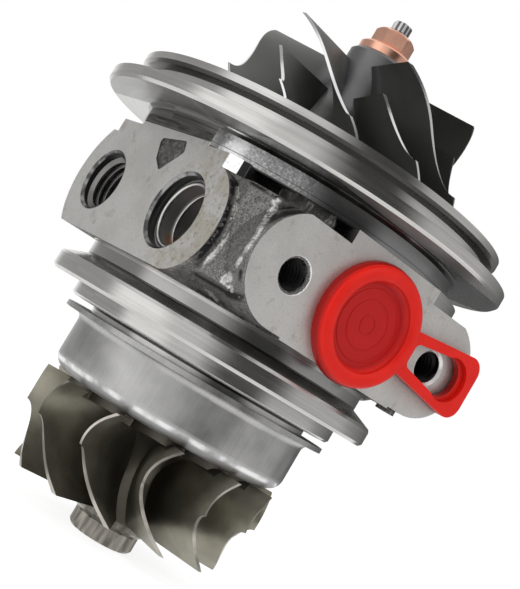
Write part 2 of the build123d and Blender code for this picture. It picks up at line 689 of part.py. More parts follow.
def shield_profile(wall_r, rim_z, rim_r, floor_z, fillet_r, round_r, hole_r):
    """Outer line of the heat shield from its rim down to its centre hole."""
    top = (rim_r, 0, rim_z)
    neck = (wall_r + fillet_r, 0, rim_z)
    neck_mid = (wall_r + fillet_r * (1 - sin(pi / 4)), 0, rim_z - fillet_r * (1 - cos(pi / 4)))
    wall_top = (wall_r, 0, rim_z - fillet_r)
    wall_low = (wall_r, 0, floor_z + round_r)
    low_mid = (wall_r - round_r * (1 - cos(pi / 4)), 0, floor_z + round_r * (1 - sin(pi / 4)))
    floor_out = (wall_r - round_r, 0, floor_z)
    floor_in = (hole_r, 0, floor_z)
    return [Line(top, neck), ThreePointArc(neck, neck_mid, wall_top), Line(wall_top, wall_low),
            ThreePointArc(wall_low, low_mid, floor_out), Line(floor_out, floor_in)]


def heat_shield():
    """Deep-drawn steel cup between the housing and the turbine wheel."""
    outside = shield_profile(SHIELD_R, SHIELD_RIM_Z - SHIELD_WALL, SHIELD_RIM_R, SHIELD_END_Z,
                             SHIELD_FILLET, SHIELD_ROUND, SHIELD_HOLE_R)
    inside = shield_profile(SHIELD_R - SHIELD_WALL, SHIELD_RIM_Z, SHIELD_RIM_R, NOSE_END,
                            SHIELD_FILLET + SHIELD_WALL, SHIELD_ROUND - SHIELD_WALL, SHIELD_HOLE_R)
    rim = Line((SHIELD_RIM_R, 0, SHIELD_RIM_Z), (SHIELD_RIM_R, 0, SHIELD_RIM_Z - SHIELD_WALL))
    hole = Line((SHIELD_HOLE_R, 0, NOSE_END), (SHIELD_HOLE_R, 0, SHIELD_END_Z))
    return revolve(Face(Wire(outside + inside + [rim, hole])), Axis.Z)


def rotor_shaft():
    """Steel shaft: seal boss, slinger, two journals, waist and the long stud."""
    body = turned(
        (0, WELD_Z), (BOSS_R, WELD_Z), (BOSS_R, BOSS_TOP), (SLINGER_R, BOSS_TOP + SLINGER_RAMP),
        (SLINGER_R, SLINGER_TOP), (JOURNAL_R, SLINGER_TOP + JOURNAL_RAMP), (JOURNAL_R, TURBINE_BORE_TOP),
        (WAIST_R, TURBINE_BORE_TOP + WAIST_RAMP), (WAIST_R, COMPRESSOR_BORE_BOTTOM - WAIST_RAMP),
        (JOURNAL_R, COMPRESSOR_BORE_BOTTOM), (JOURNAL_R, STUD_SHOULDER),
        (STUD_R, STUD_SHOULDER), (STUD_R, THREAD_START), (THREAD_R, THREAD_START + THREAD_CHAMFER),
        (THREAD_R, THREAD_END - THREAD_CHAMFER), (THREAD_R - THREAD_CHAMFER, THREAD_END), (0, THREAD_END))
    drive = RegularPolygon(DRIVE_ACROSS / 2, 6, major_radius=False, rotation=DRIVE_TURN)
    drive = extrude(Pos(0, 0, THREAD_END) * drive, amount=DRIVE_LENGTH)
    body += chamfer(drive.faces().sort_by(Axis.Z)[-1].edges(), DRIVE_CHAMFER)
    for low in (TURBINE_RING_LOW, TURBINE_RING_HIGH):
        body -= ring(SEAL_BORE_R - RING_DEPTH, BOSS_R + 1, low - RING_PLAY, low + RING_THICK + RING_PLAY)
    return body


def compressor_nut():
    """Flanged hexagon nut in copper-coloured plating."""
    flange_top = COMP_NOSE_Z + NUT_FLANGE
    hexagon = RegularPolygon(NUT_ACROSS / 2, 6, major_radius=False, rotation=NUT_TURN)
    body = extrude(Pos(0, 0, COMP_NOSE_Z) * hexagon, amount=NUT_TOP - COMP_NOSE_Z)
    corner_r = NUT_ACROSS / sqrt(3)
    body &= turned((0, COMP_NOSE_Z), (corner_r, COMP_NOSE_Z), (corner_r, NUT_TOP - NUT_CHAMFER),
                   (NUT_FACE_R, NUT_TOP), (0, NUT_TOP))
    body += turned((0, COMP_NOSE_Z), (NUT_FLANGE_R, COMP_NOSE_Z), (NUT_FLANGE_R, flange_top - NUT_EDGE),
                   (NUT_FLANGE_R - NUT_EDGE, flange_top), (NUT_ACROSS / 2, flange_top + NUT_CONE),
                   (0, flange_top + NUT_CONE))
    return body - disc(THREAD_R + STACK_GAP, COMP_NOSE_Z - 1, NUT_TOP + 1)


def turned_round(corners, curve):
    """Solid of revolution from (radius, height) corners, closed by a curve from the last to the first."""
    sides = [Line(start, end) for start, end in zip(corners, corners[1:])]
    return revolve(Plane.XZ * Face(Wire(sides + [curve])), Axis.Z)


def levels(low, high, count):
    """Evenly spaced heights from low to high."""
    return [low + (high - low) * i / (count - 1) for i in range(count)]


def twist(terms, share):
    """Blade azimuth in degrees and its slope at a share of the height, from the terms of a polynomial."""
    angle = sum(term * share ** power for power, term in enumerate(terms, 1))
    slope = sum(power * term * share ** (power - 1) for power, term in enumerate(terms, 1))
    return angle, slope


def blade(heights, start_z, end_z, terms, root_radius, reach, root_thick, tip_thick, lean):
    """Twisted blade on the +X side, lofted through level bars that run from inside the hub past the tip."""
    span = start_z - end_z
    sections = []
    for z in heights:
        share = (start_z - z) / span
        turn, slope = twist(terms, share)
        angle = radians(turn)
        rate = radians(slope) / span
        root = root_radius(z)
        root_half = root_thick * sqrt(1 + (root * rate) ** 2) / 2
        tip_half = tip_thick * sqrt(1 + (reach * rate) ** 2) / 2
        drift = -lean * max(0, 1 - share ** 2)
        out = Vector(cos(angle), sin(angle), 0)
        across = Vector(-sin(angle), cos(angle), 0)
        level = Vector(0, 0, z)
        corners = [
            level + out * root + across * (drift - root_half), level + out * reach - across * tip_half,
            level + out * reach + across * tip_half, level + out * root + across * (drift + root_half)]
        sections.append(Face(Wire.make_polygon(corners)))
    return loft(sections)


def compressor_hub_radius(z):
    """Radius of the compressor hub at a height: a quarter ellipse under a slim nose."""
    if z >= COMP_HUB_BEND_Z:
        share = (z - COMP_HUB_BEND_Z) / (COMP_NOSE_Z - COMP_HUB_BEND_Z)
        return COMP_HUB_R + (COMP_NOSE_R - COMP_HUB_R) * share
    drop = min(1, (COMP_HUB_BEND_Z - z) / (COMP_HUB_BEND_Z - COMP_DISC_FRONT))
    return COMP_R - (COMP_R - COMP_HUB_R) * sqrt(1 - drop ** 2)


def compressor_wheel():
    """Milled impeller with full and splitter blades on a curved hub."""
    bend = EllipticalCenterArc((COMP_R, COMP_HUB_BEND_Z), COMP_R - COMP_HUB_R,
                               COMP_HUB_BEND_Z - COMP_DISC_FRONT, 180)
    nose_low = COMP_NOSE_Z - COMP_NOSE_CHAMFER
    hub = turned_round([(COMP_HUB_R, COMP_HUB_BEND_Z), (COMP_NOSE_R, nose_low),
                        (COMP_NOSE_R - COMP_NOSE_CHAMFER, COMP_NOSE_Z), (0, COMP_NOSE_Z), (0, SLEEVE_TOP),
                        (COMP_BACK_BOSS_R, SLEEVE_TOP), (COMP_R, COMP_BACK), (COMP_R, COMP_DISC_FRONT)], bend)

    def root(z):
        return compressor_hub_radius(z) - BLADE_SINK

    shroud = EllipticalCenterArc((COMP_R, COMP_SHROUD_BEND_Z), COMP_R - COMP_INLET_R,
                                 COMP_SHROUD_BEND_Z - COMP_TIP_Z, 180)
    edge = COMP_R - BLADE_SETBACK
    top = COMP_INLET_Z + 1
    envelope = turned_round([(COMP_INLET_R, COMP_SHROUD_BEND_Z), (COMP_INLET_R, top), (0, top),
                             (0, COMP_BACK), (edge, COMP_BACK), (edge, COMP_TIP_Z), (COMP_R, COMP_TIP_Z)],
                            shroud)
    heights = levels((COMP_BACK + COMP_DISC_FRONT) / 2, COMP_INLET_Z, COMP_BARS)
    full = envelope & blade(heights, COMP_INLET_Z, COMP_DISC_FRONT, COMP_TWIST, root, COMP_R + 1,
                            COMP_ROOT, COMP_TIP, COMP_LEAN)
    splitter = full & disc(COMP_R, COMP_BACK, COMP_SPLITTER_Z)

    pitch = 360 / COMP_BLADES
    vanes = []
    for i in range(COMP_BLADES):
        phase = COMP_PHASE + i * pitch
        vanes.append(Rot(0, 0, phase) * full)
        vanes.append(Rot(0, 0, phase + pitch / 2) * splitter)
    return hub.fuse(*vanes) - disc(STUD_R + STACK_GAP, SLEEVE_TOP - 1, COMP_NOSE_Z + 1)


def turbine_hub_radius(z):
    """Radius of the turbine hub at a height."""
    if z <= TURB_HUB_BEND_Z:
        share = (TURB_HUB_BEND_Z - z) / (TURB_HUB_BEND_Z - TURB_HUB_END_Z)
        return TURB_HUB_R + (TURB_HUB_END_R - TURB_HUB_R) * share
    rise = min(1, (z - TURB_HUB_BEND_Z) / (TURB_DISC_LOW - TURB_HUB_BEND_Z))
    return TURB_HUB_TOP_R - (TURB_HUB_TOP_R - TURB_HUB_R) * sqrt(1 - rise ** 2)


def turbine_nose():
    """Double-hexagon nose that holds the rotor while it is assembled."""
    inner = TURB_NOSE_R * cos(pi / 6) / cos(pi / 12)
    points = []
    for i in range(2 * TURB_NOSE_POINTS):
        radius = TURB_NOSE_R if i % 2 == 0 else inner
        angle = pi * i / TURB_NOSE_POINTS + radians(NUT_TURN)
        points.append((radius * cos(angle), radius * sin(angle), TURB_NOSE_END))
    nose = extrude(Face(Wire.make_polygon(points)), amount=TURB_NOSE_TOP - TURB_NOSE_END, dir=(0, 0, 1))
    return nose & turned((0, TURB_NOSE_END), (TURB_NOSE_R - TURB_NOSE_CHAMFER, TURB_NOSE_END),
                         (TURB_NOSE_R, TURB_NOSE_END + TURB_NOSE_CHAMFER), (TURB_NOSE_R, TURB_NOSE_TOP),
                         (0, TURB_NOSE_TOP))


def turbine_wheel():
    """Cast turbine wheel with a scalloped disc and curved blades."""
    boss_r = BOSS_R - STACK_GAP
    bend = EllipticalCenterArc((TURB_HUB_TOP_R, TURB_HUB_BEND_Z), TURB_HUB_TOP_R - TURB_HUB_R,
                               TURB_DISC_LOW - TURB_HUB_BEND_Z, 90)
    hub = turned_round([(TURB_HUB_R, TURB_HUB_BEND_Z), (TURB_HUB_END_R, TURB_HUB_END_Z),
                        (TURB_NOSE_NECK_R, TURB_NOSE_TOP), (0, TURB_NOSE_TOP), (0, WELD_Z), (boss_r, WELD_Z),
                        (boss_r, TURB_BACK), (TURB_DISC_R, TURB_BACK), (TURB_DISC_R, TURB_DISC_LOW),
                        (TURB_HUB_TOP_R, TURB_DISC_LOW)], bend)

    pitch = 360 / TURB_BLADES
    for i in range(TURB_BLADES):
        angle = radians(TURB_PHASE + (i + 0.5) * pitch)
        spot = Pos(SCALLOP_CENTRE_R * cos(angle), SCALLOP_CENTRE_R * sin(angle), 0)
        hub -= spot * disc(SCALLOP_R, TURB_DISC_LOW - 1, TURB_BACK + 1)

    def root(z):
        return turbine_hub_radius(z) - BLADE_SINK

    curve_low = TURB_EXIT_Z + TURB_EXIT_STRAIGHT
    shroud = EllipticalCenterArc((TURB_R, curve_low), TURB_R - TURB_EXIT_R, TURB_CORNER_Z - curve_low, 90)
    edge = TURB_R - BLADE_SETBACK
    bottom = TURB_EXIT_Z - 1
    envelope = turned_round([(TURB_EXIT_R, curve_low), (TURB_EXIT_R, bottom), (0, bottom), (0, TURB_BACK),
                             (edge, TURB_BACK), (edge, TURB_CORNER_Z), (TURB_R, TURB_CORNER_Z)], shroud)
    heights = levels(TURB_EXIT_Z, TURB_BACK - TURB_BLADE_INSET, TURB_BARS)
    vane = envelope & blade(heights, TURB_BACK, TURB_EXIT_Z, TURB_TWIST, root, TURB_R + 1,
                            TURB_ROOT, TURB_TIP, 0)
    vanes = [Rot(0, 0, TURB_PHASE + i * pitch) * vane for i in range(TURB_BLADES)]
    return hub.fuse(*vanes) + turbine_nose()


def drain_cap():
    """Moulded dust cap with a hollow skirt and a pull loop on one side."""
    back = -DRAIN_FACE
    front = back - CAP_FLANGE
    flange = drilled(CAP_R, (0, back, PORT_Z), (0, -1, 0), CAP_FLANGE)
    slope = Cone(CAP_RECESS_MOUTH_R, CAP_RECESS_R, CAP_RECESS, align=(Align.CENTER, Align.CENTER, Align.MIN))
    flange -= Plane(origin=(0, front, PORT_Z), z_dir=(0, 1, 0)) * slope
    outer = flange.edges().group_by(Axis.Y)[0].sort_by(SortBy.RADIUS)[-1]
    flange = fillet(outer, CAP_ROUND)
    inner = flange.edges().group_by(Axis.Y)[0].sort_by(SortBy.RADIUS)[0]
    flange = fillet(inner, CAP_RIM_ROUND)
    skirt_r = DRAIN_BORE_R - CAP_SKIRT_GAP
    skirt = drilled(skirt_r, (0, back, PORT_Z), (0, 1, 0), CAP_SKIRT)
    hollow = drilled(skirt_r - CAP_WALL, (0, back, PORT_Z), (0, 1, 0), CAP_SKIRT + 1)
    return flange + (skirt - hollow) + pull_loop()


def loop_side(start, start_half, end, end_half, start_round, end_round):
    """Flat outline that widens from one end to the other, with rounded corners."""
    corners = ((start, start_half), (end, end_half), (end, -end_half), (start, -start_half))
    face = make_face(Polyline(*corners, close=True))
    face = fillet(face.vertices().group_by(Axis.X)[-1], end_round)
    if start_round:
        face = fillet(face.vertices().group_by(Axis.X)[0], start_round)
    return face


def pull_loop():
    """Flat loop that widens away from the cap, with a rounded eye that clears the screw hole under it."""
    outer = loop_side(CAP_R - LOOP_SINK, LOOP_ROOT_HALF, LOOP_REACH, LOOP_END_HALF, 0, LOOP_CORNER)
    eye = loop_side(CAP_R - LOOP_HOLE_SINK, EYE_ROOT_HALF, LOOP_REACH - EYE_END_WALL, EYE_END_HALF,
                    EYE_ROOT_ROUND, EYE_END_ROUND)
    plane = Plane(origin=(0, -DRAIN_FACE - LOOP_LIFT, PORT_Z), x_dir=(1, 0, 0), z_dir=(0, -1, 0))
    step_level = LOOP_THICK - EYE_STEP_DEPTH
    step = Pos(LOOP_REACH - EYE_STEP_IN, 0, step_level) * Cylinder(
        EYE_STEP_R, LOOP_THICK, align=(Align.CENTER, Align.CENTER, Align.MIN))
    return extrude(plane * (outer - eye), amount=LOOP_THICK) - plane * step


def pieces():
    """Every piece of the cartridge under the name of its file."""
    heights = snap_ring_heights()
    return {
        "bearing_housing": bearing_housing(),
        "core_plug": core_plug(),
        "heat_shield": heat_shield(),
        "turbine_wheel": turbine_wheel(),
        "rotor_shaft": rotor_shaft(),
        "turbine_seal_ring_inner": seal_ring(SEAL_BORE_R, RING_DEPTH, TURBINE_RING_LOW),
        "turbine_seal_ring_outer": seal_ring(SEAL_BORE_R, RING_DEPTH, TURBINE_RING_HIGH),
        "turbine_journal_bearing": journal_bearing(TURBINE_BEARING_Z),
        "compressor_journal_bearing": journal_bearing(COMPRESSOR_BEARING_Z),
        "snap_ring_turbine_lower": snap_ring(heights[0]),
        "snap_ring_turbine_upper": snap_ring(heights[1]),
        "snap_ring_compressor": snap_ring(heights[2]),
        "thrust_washer": thrust_washer(),
        "thrust_bearing": thrust_bearing(),
        "thrust_pins": thrust_pins(),
        "thrust_collar": thrust_collar(),
        "oil_baffle": oil_baffle(),
        "seal_sleeve": seal_sleeve(),
        "seal_plate": seal_plate(),
        "seal_plate_o_ring": plate_o_ring(),
        "compressor_seal_ring": seal_ring(PLATE_BORE_R, PLATE_RING_DEPTH, PLATE_RING_LOW),
        "retaining_ring": retaining_ring(),
        "compressor_wheel": compressor_wheel(),
        "compressor_nut": compressor_nut(),
        "drain_cap": drain_cap(),
    }


os.makedirs("parts", exist_ok=True)
for name, solid in pieces().items():
    export_step(solid, "parts/" + name + ".step")
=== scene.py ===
from math import atan2, cos, pi, radians, sin

import bmesh
import bpy
from mathutils import Matrix, Vector, noise
from mathutils.bvhtree import BVHTree


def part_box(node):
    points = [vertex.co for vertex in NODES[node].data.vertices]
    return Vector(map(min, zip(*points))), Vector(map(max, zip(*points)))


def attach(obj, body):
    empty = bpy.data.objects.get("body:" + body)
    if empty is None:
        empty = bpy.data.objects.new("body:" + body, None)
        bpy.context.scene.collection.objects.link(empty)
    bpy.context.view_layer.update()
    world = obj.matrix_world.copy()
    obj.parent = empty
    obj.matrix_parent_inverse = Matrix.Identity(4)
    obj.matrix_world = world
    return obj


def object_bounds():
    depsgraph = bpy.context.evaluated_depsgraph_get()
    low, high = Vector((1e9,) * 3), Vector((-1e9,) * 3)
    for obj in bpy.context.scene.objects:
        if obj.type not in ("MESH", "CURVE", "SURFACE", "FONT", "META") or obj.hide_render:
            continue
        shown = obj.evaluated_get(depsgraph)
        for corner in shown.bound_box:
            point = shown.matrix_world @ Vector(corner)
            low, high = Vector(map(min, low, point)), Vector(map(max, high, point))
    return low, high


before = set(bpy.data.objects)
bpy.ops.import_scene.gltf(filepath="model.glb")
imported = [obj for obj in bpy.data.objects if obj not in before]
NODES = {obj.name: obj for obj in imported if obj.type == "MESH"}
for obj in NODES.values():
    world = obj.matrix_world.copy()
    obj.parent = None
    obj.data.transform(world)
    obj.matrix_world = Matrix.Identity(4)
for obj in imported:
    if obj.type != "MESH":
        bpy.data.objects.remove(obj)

CAD_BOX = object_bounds()
MM = 0.001

# The bodies that new pieces ride on
HOUSING_BODY = "housing"
CAP_BODY = "cap"

# The photograph's height in pixels and its camera, in metres and degrees
PHOTO_HEIGHT = 589
FOCAL_PIXELS = 1254.5
SENSOR_MM = 36.0
CLIP_START = 0.01
CAMERA_AT = Vector((-0.14706, -0.20278, 0.00019))
CAMERA_HEADING = 36.608
CAMERA_PITCH = 3.62
CAMERA_ROLL = 30.806

# World and floor: how bright they are and, in metres, how the floor lies
WORLD_LEVEL = 0.55
PAPER_LEVEL = 0.85
FLOOR_SHINE = 0.83
FLOOR_SHADED = 0.34
FLOOR_GAP = 0.1 * MM
FLOOR_REACH = 3.0

# Lamps: name, offset from the target along the photograph's right, up and forward, size and power
LIGHT_TARGET = Vector((0, 0, 0.02))
LAMPS = (
    ("key_light", (-0.35, 0.45, -0.35), (0.35, 0.35), 3.0),
    ("fill_light", (0.5, 0.1, -0.35), (0.3, 0.5), 1.2),
)

# Studio wall, in metres; its bands give start, end and softness in degrees, and the level.
# They are a side wall, a glow, a soft box and a dark card, counted from the camera's side.
SURROUND_FOOT_R = 0.16
SURROUND_R = 1.2
SURROUND_HEIGHT = 1.0
SURROUND_SEGMENTS = 96
WALL_LEVEL = 0.45
WALL_BANDS = (
    (54.0, 106.0, 7.0, 0.62),
    (-40.0, -2.0, 7.0, 0.85),
    (-68.0, -30.0, 7.0, 1.3),
    (8.0, 48.0, 9.0, 0.07),
)
SHADE_FROM = (125.0, 30.0)
SHADE_LEVEL = 0.12
OPEN_BELOW = (-143.0, 10.0)
OPEN_LEVEL = 1.0

# Faces and heights of the housing, in metres
SIDE_FACE = 32.4 * MM
DRAIN_FACE = 36.1 * MM
FEED_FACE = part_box("bearing_housing")[1].y
PLUG_FACE = 39.0 * MM
PORT_Z = 19.2 * MM
V_ROOT = 5.6 * MM
CAST_LOW = 8.0 * MM
CAST_R = 31.0 * MM
COLLAR_LOW = 29.4 * MM
COLLAR_TOP = 32.2 * MM
FLAT_LOW = 33.0 * MM
FLANGE_LOW = 36.7 * MM

# Pocket, painted dark as shade, and tab under the neck, painted bright as a highlight, in degrees round the
# shaft and metres from it
POCKET_SPAN = (-141.5, -108.2)
POCKET_SOFT = 0.3
POCKET_RIM_R = 37.9 * MM
TAB_SPAN = (-149.0, -143.9)
TAB_SOFT = 0.12
TAB_R = 37.5 * MM

# Rough hollow in the coolant pad
SCAR_SPAN_Y = (-7.4 * MM, 4.2 * MM)
SCAR_SPAN_Z = (24.2 * MM, 32.4 * MM)
SCAR_DEPTH = 0.5 * MM

# Ports: the coolant ports' places along the pad with their radii, then the others
THREADED_PORT = (14.8 * MM, 6.55 * MM)
STEPPED_PORT = (-13.7 * MM, 7.75 * MM)
STEP_X = -30.0 * MM
STEP_WALL_X = (-31.75 * MM, STEP_X - 0.1 * MM)
COUNTERSINK = 0.65 * MM
COPPER_X = (-28.5 * MM, -20.5 * MM)
COPPER_Y = -14.0 * MM
COPPER_TOP = 15.4 * MM
PORT_DEEP = 14.0 * MM
DRAIN_SCREW_X = 19.0 * MM
DRAIN_SCREW_R = 3.55 * MM
DRAIN_BORE_R = 8.55 * MM
SCREW_SINK = 0.45 * MM
SCREW_HOLE_LOW = 0.5 * MM
FEED_R = 5.55 * MM
PLUG_R = 8.05 * MM

# Heat shield, wheels, shaft end and cap
LIP_Z = -14.4 * MM
GLINT_SPAN = (-14.9 * MM, -14.0 * MM)
HUB_R = 9.5 * MM
HUB_Z = 54.0 * MM
COMP_R = 29.0 * MM
COMP_TIP_Z = 46.6 * MM
COMP_SHROUD = (58.5 * MM, 8.5 * MM, 5.6 * MM)
TURB_R = 26.1 * MM
TURB_SHROUD = (33.6 * MM, 8.6 * MM, 3.4 * MM)
NOSE_CONE_Z = -35.9 * MM
DEEP_R = 14.0 * MM
DISC_RIM_Z = -18.4 * MM
DISC_RIM_R = 21.15 * MM
SHAFT_POINTS = 12.0
SHAFT_END_Z = 74.0 * MM
CAP_FRONT = 38.2 * MM
CAP_FLOOR = -36.9 * MM
CAP_RECESS_R = 8.4 * MM
CAP_SIDE_R = 11.3 * MM
CAP_RIM_RISE = 0.8 * MM
CAP_RINGS = (6.7, 4.6, 1.7)

# How soft the change from one finish to the next is, and how far a pad's finish reaches below its face
SHARP = 0.05 * MM
SOFT = 0.1 * MM
PAD_SKIN = 0.08 * MM

# The middle of a noise texture's range
MIDDLE = (0.3, 0.7)

# Finishes of the housing; the neck's painted reflections and painted shade follow its azimuth in degrees,
# and the dark lines, painted shade at creases and edges, give their height and half width in millimetres
TURNED_DARK = (0.49, 0.48, 0.465)
TURNED_LIGHT = (0.60, 0.59, 0.57)
LOWER_NECK = (0.36, 0.355, 0.345)
NECK_SPAN = (-170.0, -100.0)
# Levels by azimuth: painted highlights and painted shade that stand in for the neck's reflections
NECK_REFLECTIONS = (
    (-164, 0.13), (-160.8, 0.70), (-158.6, 0.22), (-155.5, 0.13), (-152, 0.60), (-148.5, 0.66),
    (-145, 0.34), (-128, 0.30), (-112, 0.27),
)
GRAINY_SPAN = (-148.0, -122.0)
GRAINY_SOFT = 4.0
NECK_GRAINS = ((0.36, 0.06), (0.5, 0.26), (0.66, 0.85))
CREASE_SHADE = (0.07, 0.068, 0.065)
# Dark lines painted at creases and edges: painted shade
SHADE_LINES = (
    (32.35, 0.15), (33.3, 0.06), (36.2, 0.3), (39.3, 0.12), (5.75, 0.15), (-2.9, 0.25),
)
# The tab's bright speckled levels are a painted highlight
TAB_HIGHLIGHT = (0.55, 0.95)
# Painted shade at the end of the collar beside the pocket
TAB_END_SHADE = 0.02
MILLED = ((0.27, (0.33, 0.31, 0.28)), (0.38, (0.62, 0.612, 0.59)), (0.8, (0.71, 0.703, 0.68)))
SOOT = (0.47, 0.455, 0.43)
RUST = (0.25, 0.19, 0.11)
OLIVE = (0.44, 0.38, 0.26)
STAIN = (0.34, 0.30, 0.24)
RUST_Y = -14.0 * MM
# Painted shade on the turned flat above the side pad, under the flange
FLAT_PAINTED_SHADE = ((0.36, (0.055, 0.053, 0.048)), (0.64, (0.20, 0.197, 0.19)))
FLAT_EDGE = (0.035, 0.030, 0.018)
BORED = (0.44, 0.43, 0.42)
# Painted copper glint inside the stepped port: a painted reflection
COPPER_GLINT = (0.60, 0.30, 0.17)
SCRATCHES = ((0.42, 0.07), (0.6, 0.30))
# Painted shade on the step wall of the stepped port
STEP_WALL_SHADE = 0.06
# Painted shade deep in the drain screws' holes
SCREW_HOLE_SHADE = 0.02
SCREW_SINK_LEVEL = 0.85
CAST_DARK = (0.035, 0.034, 0.032)
CAST_MIDDLE = (0.15, 0.146, 0.14)
CAST_LIGHT = (0.42, 0.41, 0.39)
# Painted shade in the pocket under the neck
POCKET_SHADE = (0.012, 0.0115, 0.011)
SKIN_MIDDLE = (0.20, 0.196, 0.188)
# Painted shade in the skin's hollows
SKIN_HOLLOW_SHADE = (0.008, 0.04)
SKIN_RUBBED = ((0.32, (0.24, 0.235, 0.225)), (0.6, (0.80, 0.785, 0.76)))

# Finishes of the drawn steel's lip, the wheels, the shaft's end, the cap and the rubber ring; painted shade
# and painted highlights among them are noted
# The lip's levels are painted shade, and the glint is a painted highlight along it
LIP_PAINTED_SHADE = (0.22, 0.46)
LIP_ROUGH = 0.5
GLINT = 0.88
GLINT_ROUGH = 0.22
COMP_SHADES = ((0.3, (0.040, 0.040, 0.037)), (0.7, (0.052, 0.052, 0.048)))
COMP_HUB = (0.13, 0.18)
COMP_EDGE = (0.72, 0.72, 0.72)
TURB_SHADES = ((0.3, (0.22, 0.205, 0.165)), (0.72, (0.39, 0.37, 0.30)))
# Painted shade deep between the turbine's blades
TURB_DEEP_SHADE = (0.085, 0.078, 0.062)
TURB_DISC_RIM = (0.10, 0.09, 0.075)
TURB_EDGE = ((0.17, 0.158, 0.135), (0.52, 0.49, 0.44))
TURB_NOSE = ((0.13, 0.121, 0.104), (0.38, 0.356, 0.315))
SHAFT_SHADES = (0.24, 0.32)
# Painted highlights and shade of the points round the shaft's end
SHAFT_POINT_LIGHT_AND_SHADE = (0.10, 0.52)
CAP_SHADES = ((0.3, (0.66, 0.010, 0.005)), (0.7, (0.74, 0.014, 0.007)))
# Painted shade on the floor of the cap's recess
CAP_FLOOR_SHADE = ((0.42, 0.006, 0.006), (0.49, 0.009, 0.008))
# Painted shade round the cap's outer side
CAP_SIDE_SHADE = (0.34, 0.006, 0.004)
RUBBER_SHADES = ((0.3, 0.018), (0.7, 0.03))

# Cast skin over the corner: its span in degrees, its heights, its grid and how it lies on the solid,
# with the heights of its lumps in millimetres, and their number to the metre with their octaves
SKIN_SPAN = (-153.0, -101.0)
SKIN_LOW = 8.9 * MM
SKIN_HIGH = 29.35 * MM
SKIN_COLUMNS = 190
SKIN_ROWS = 96
SKIN_FROM = 60.0 * MM
SKIN_OFF_PAD = 0.1 * MM
SKIN_BLURS = 6
SKIN_STRETCH = 0.9 * MM
SKIN_LIFT = 0.12
SKIN_SUNK = -0.12
SKIN_EDGE = (0.05, 0.75)
SKIN_LUMPS = (420, 3)
SKIN_FINE = (1900, 3)
LUMP_RISE = 0.10
FINE_RISE = 0.07
RIDGE_RISE = 0.16
RIDGE_LUMPS = 0.24
VALLEY_CUT = 0.4
RUBBED_SPAN = (0.2, 0.8)
# How hollow each point of the skin is, for the painted shade in its hollows: rounds of blurring and the span
# that darkens
HOLLOW_BLURS = 40
HOLLOW_SPAN = (0.05, 0.7)

# Fractal noise of the added iron: roughness and the step from one octave to the next
FRACTAL_ROUGH = 0.7
FRACTAL_STEP = 2.1

# Lines on the casting's corner: corners in millimetres, half width, softness and strength
CORNER_RIDGES = (
    (((-30.3, -24.8, 27.0), (-30.4, -26.5, 24.9), (-30.4, -28.0, 21.5), (-29.7, -28.2, 18.2),
      (-30.0, -27.9, 14.8), (-30.2, -27.2, 12.3)), 0.15, 0.9, 0.62),
    (((-26.6, -31.3, 28.2), (-26.5, -31.5, 26.5), (-28.2, -33.6, 23.7), (-28.8, -34.7, 21.4)),
     0.3, 0.8, 1.0),
    (((-28.8, -34.7, 21.4), (-29.0, -34.7, 19.2), (-28.6, -33.8, 16.7), (-27.6, -32.4, 14.4)),
     0.2, 0.9, 0.8),
    (((-27.6, -32.4, 14.4), (-27.0, -30.9, 12.4)), 0.4, 0.9, 1.0),
    (((-27.0, -30.9, 12.4), (-25.7, -31.7, 12.0)), 0.4, 0.8, 0.95),
    (((-24.3, -24.2, 9.9), (-21.0, -24.6, 9.4), (-19.2, -26.5, 9.2), (-18.7, -30.5, 9.1)),
     0.35, 0.9, 0.85),
)
# Valleys of the casting's corner: sunk into the skin, and darkened with painted shade
CORNER_VALLEYS = (
    (((-31.6, -24.5, 27.4), (-32.1, -26.2, 25.3), (-31.9, -28.0, 21.0), (-31.8, -28.1, 17.6),
      (-31.6, -26.7, 13.7)), 0.5, 0.9, 1.0),
    (((-28.6, -25.2, 11.1), (-26.6, -27.4, 11.1), (-24.4, -29.6, 10.9), (-25.0, -35.6, 11.4)),
     0.3, 0.9, 0.9),
    (((-27.5, -33.7, 25.1), (-24.5, -34.5, 27.5), (-20.0, -35.0, 29.0)), 0.8, 1.3, 0.9),
    (((-27.8, -34.6, 14.7), (-27.6, -34.6, 13.4)), 0.2, 0.7, 0.9),
    (((-31.0, -27.0, 29.3), (-28.4, -29.4, 29.3), (-26.9, -30.9, 29.3)), 0.3, 0.8, 0.9),
)

# Rubble in the pocket: its span and run-outs in degrees, its outline and limits in millimetres
RUBBLE_SPAN = (-132.5, -112.0)
RUBBLE_RUN_IN = 5
RUBBLE_RUN_OUT = 3
RUBBLE_COLUMNS = 90
RUBBLE_OUTLINE = (
    (32.2, 29.1), (35.0, 29.1), (37.4, 29.1), (37.7, 29.7), (37.5, 30.4), (37.0, 31.1),
    (36.4, 31.6), (35.7, 32.0), (35.0, 32.3), (34.5, 32.35), (33.4, 32.3), (32.2, 32.2),
)
RUBBLE_ROOT_R = 32.2
RUBBLE_FREE_R = (34.4, 35.6)
RUBBLE_TOP = 32.6
RUBBLE_THIN = 0.12
RUBBLE_BACK = 0.35
RUBBLE_LUMPS = (380, 3)
RUBBLE_FINE = (1700, 2)
RUBBLE_RUBBED = (0.3, 0.7)

# Mesh settings; angles in degrees
SMOOTH_ANGLE = 35.0
ALL_SMOOTH = 180.0

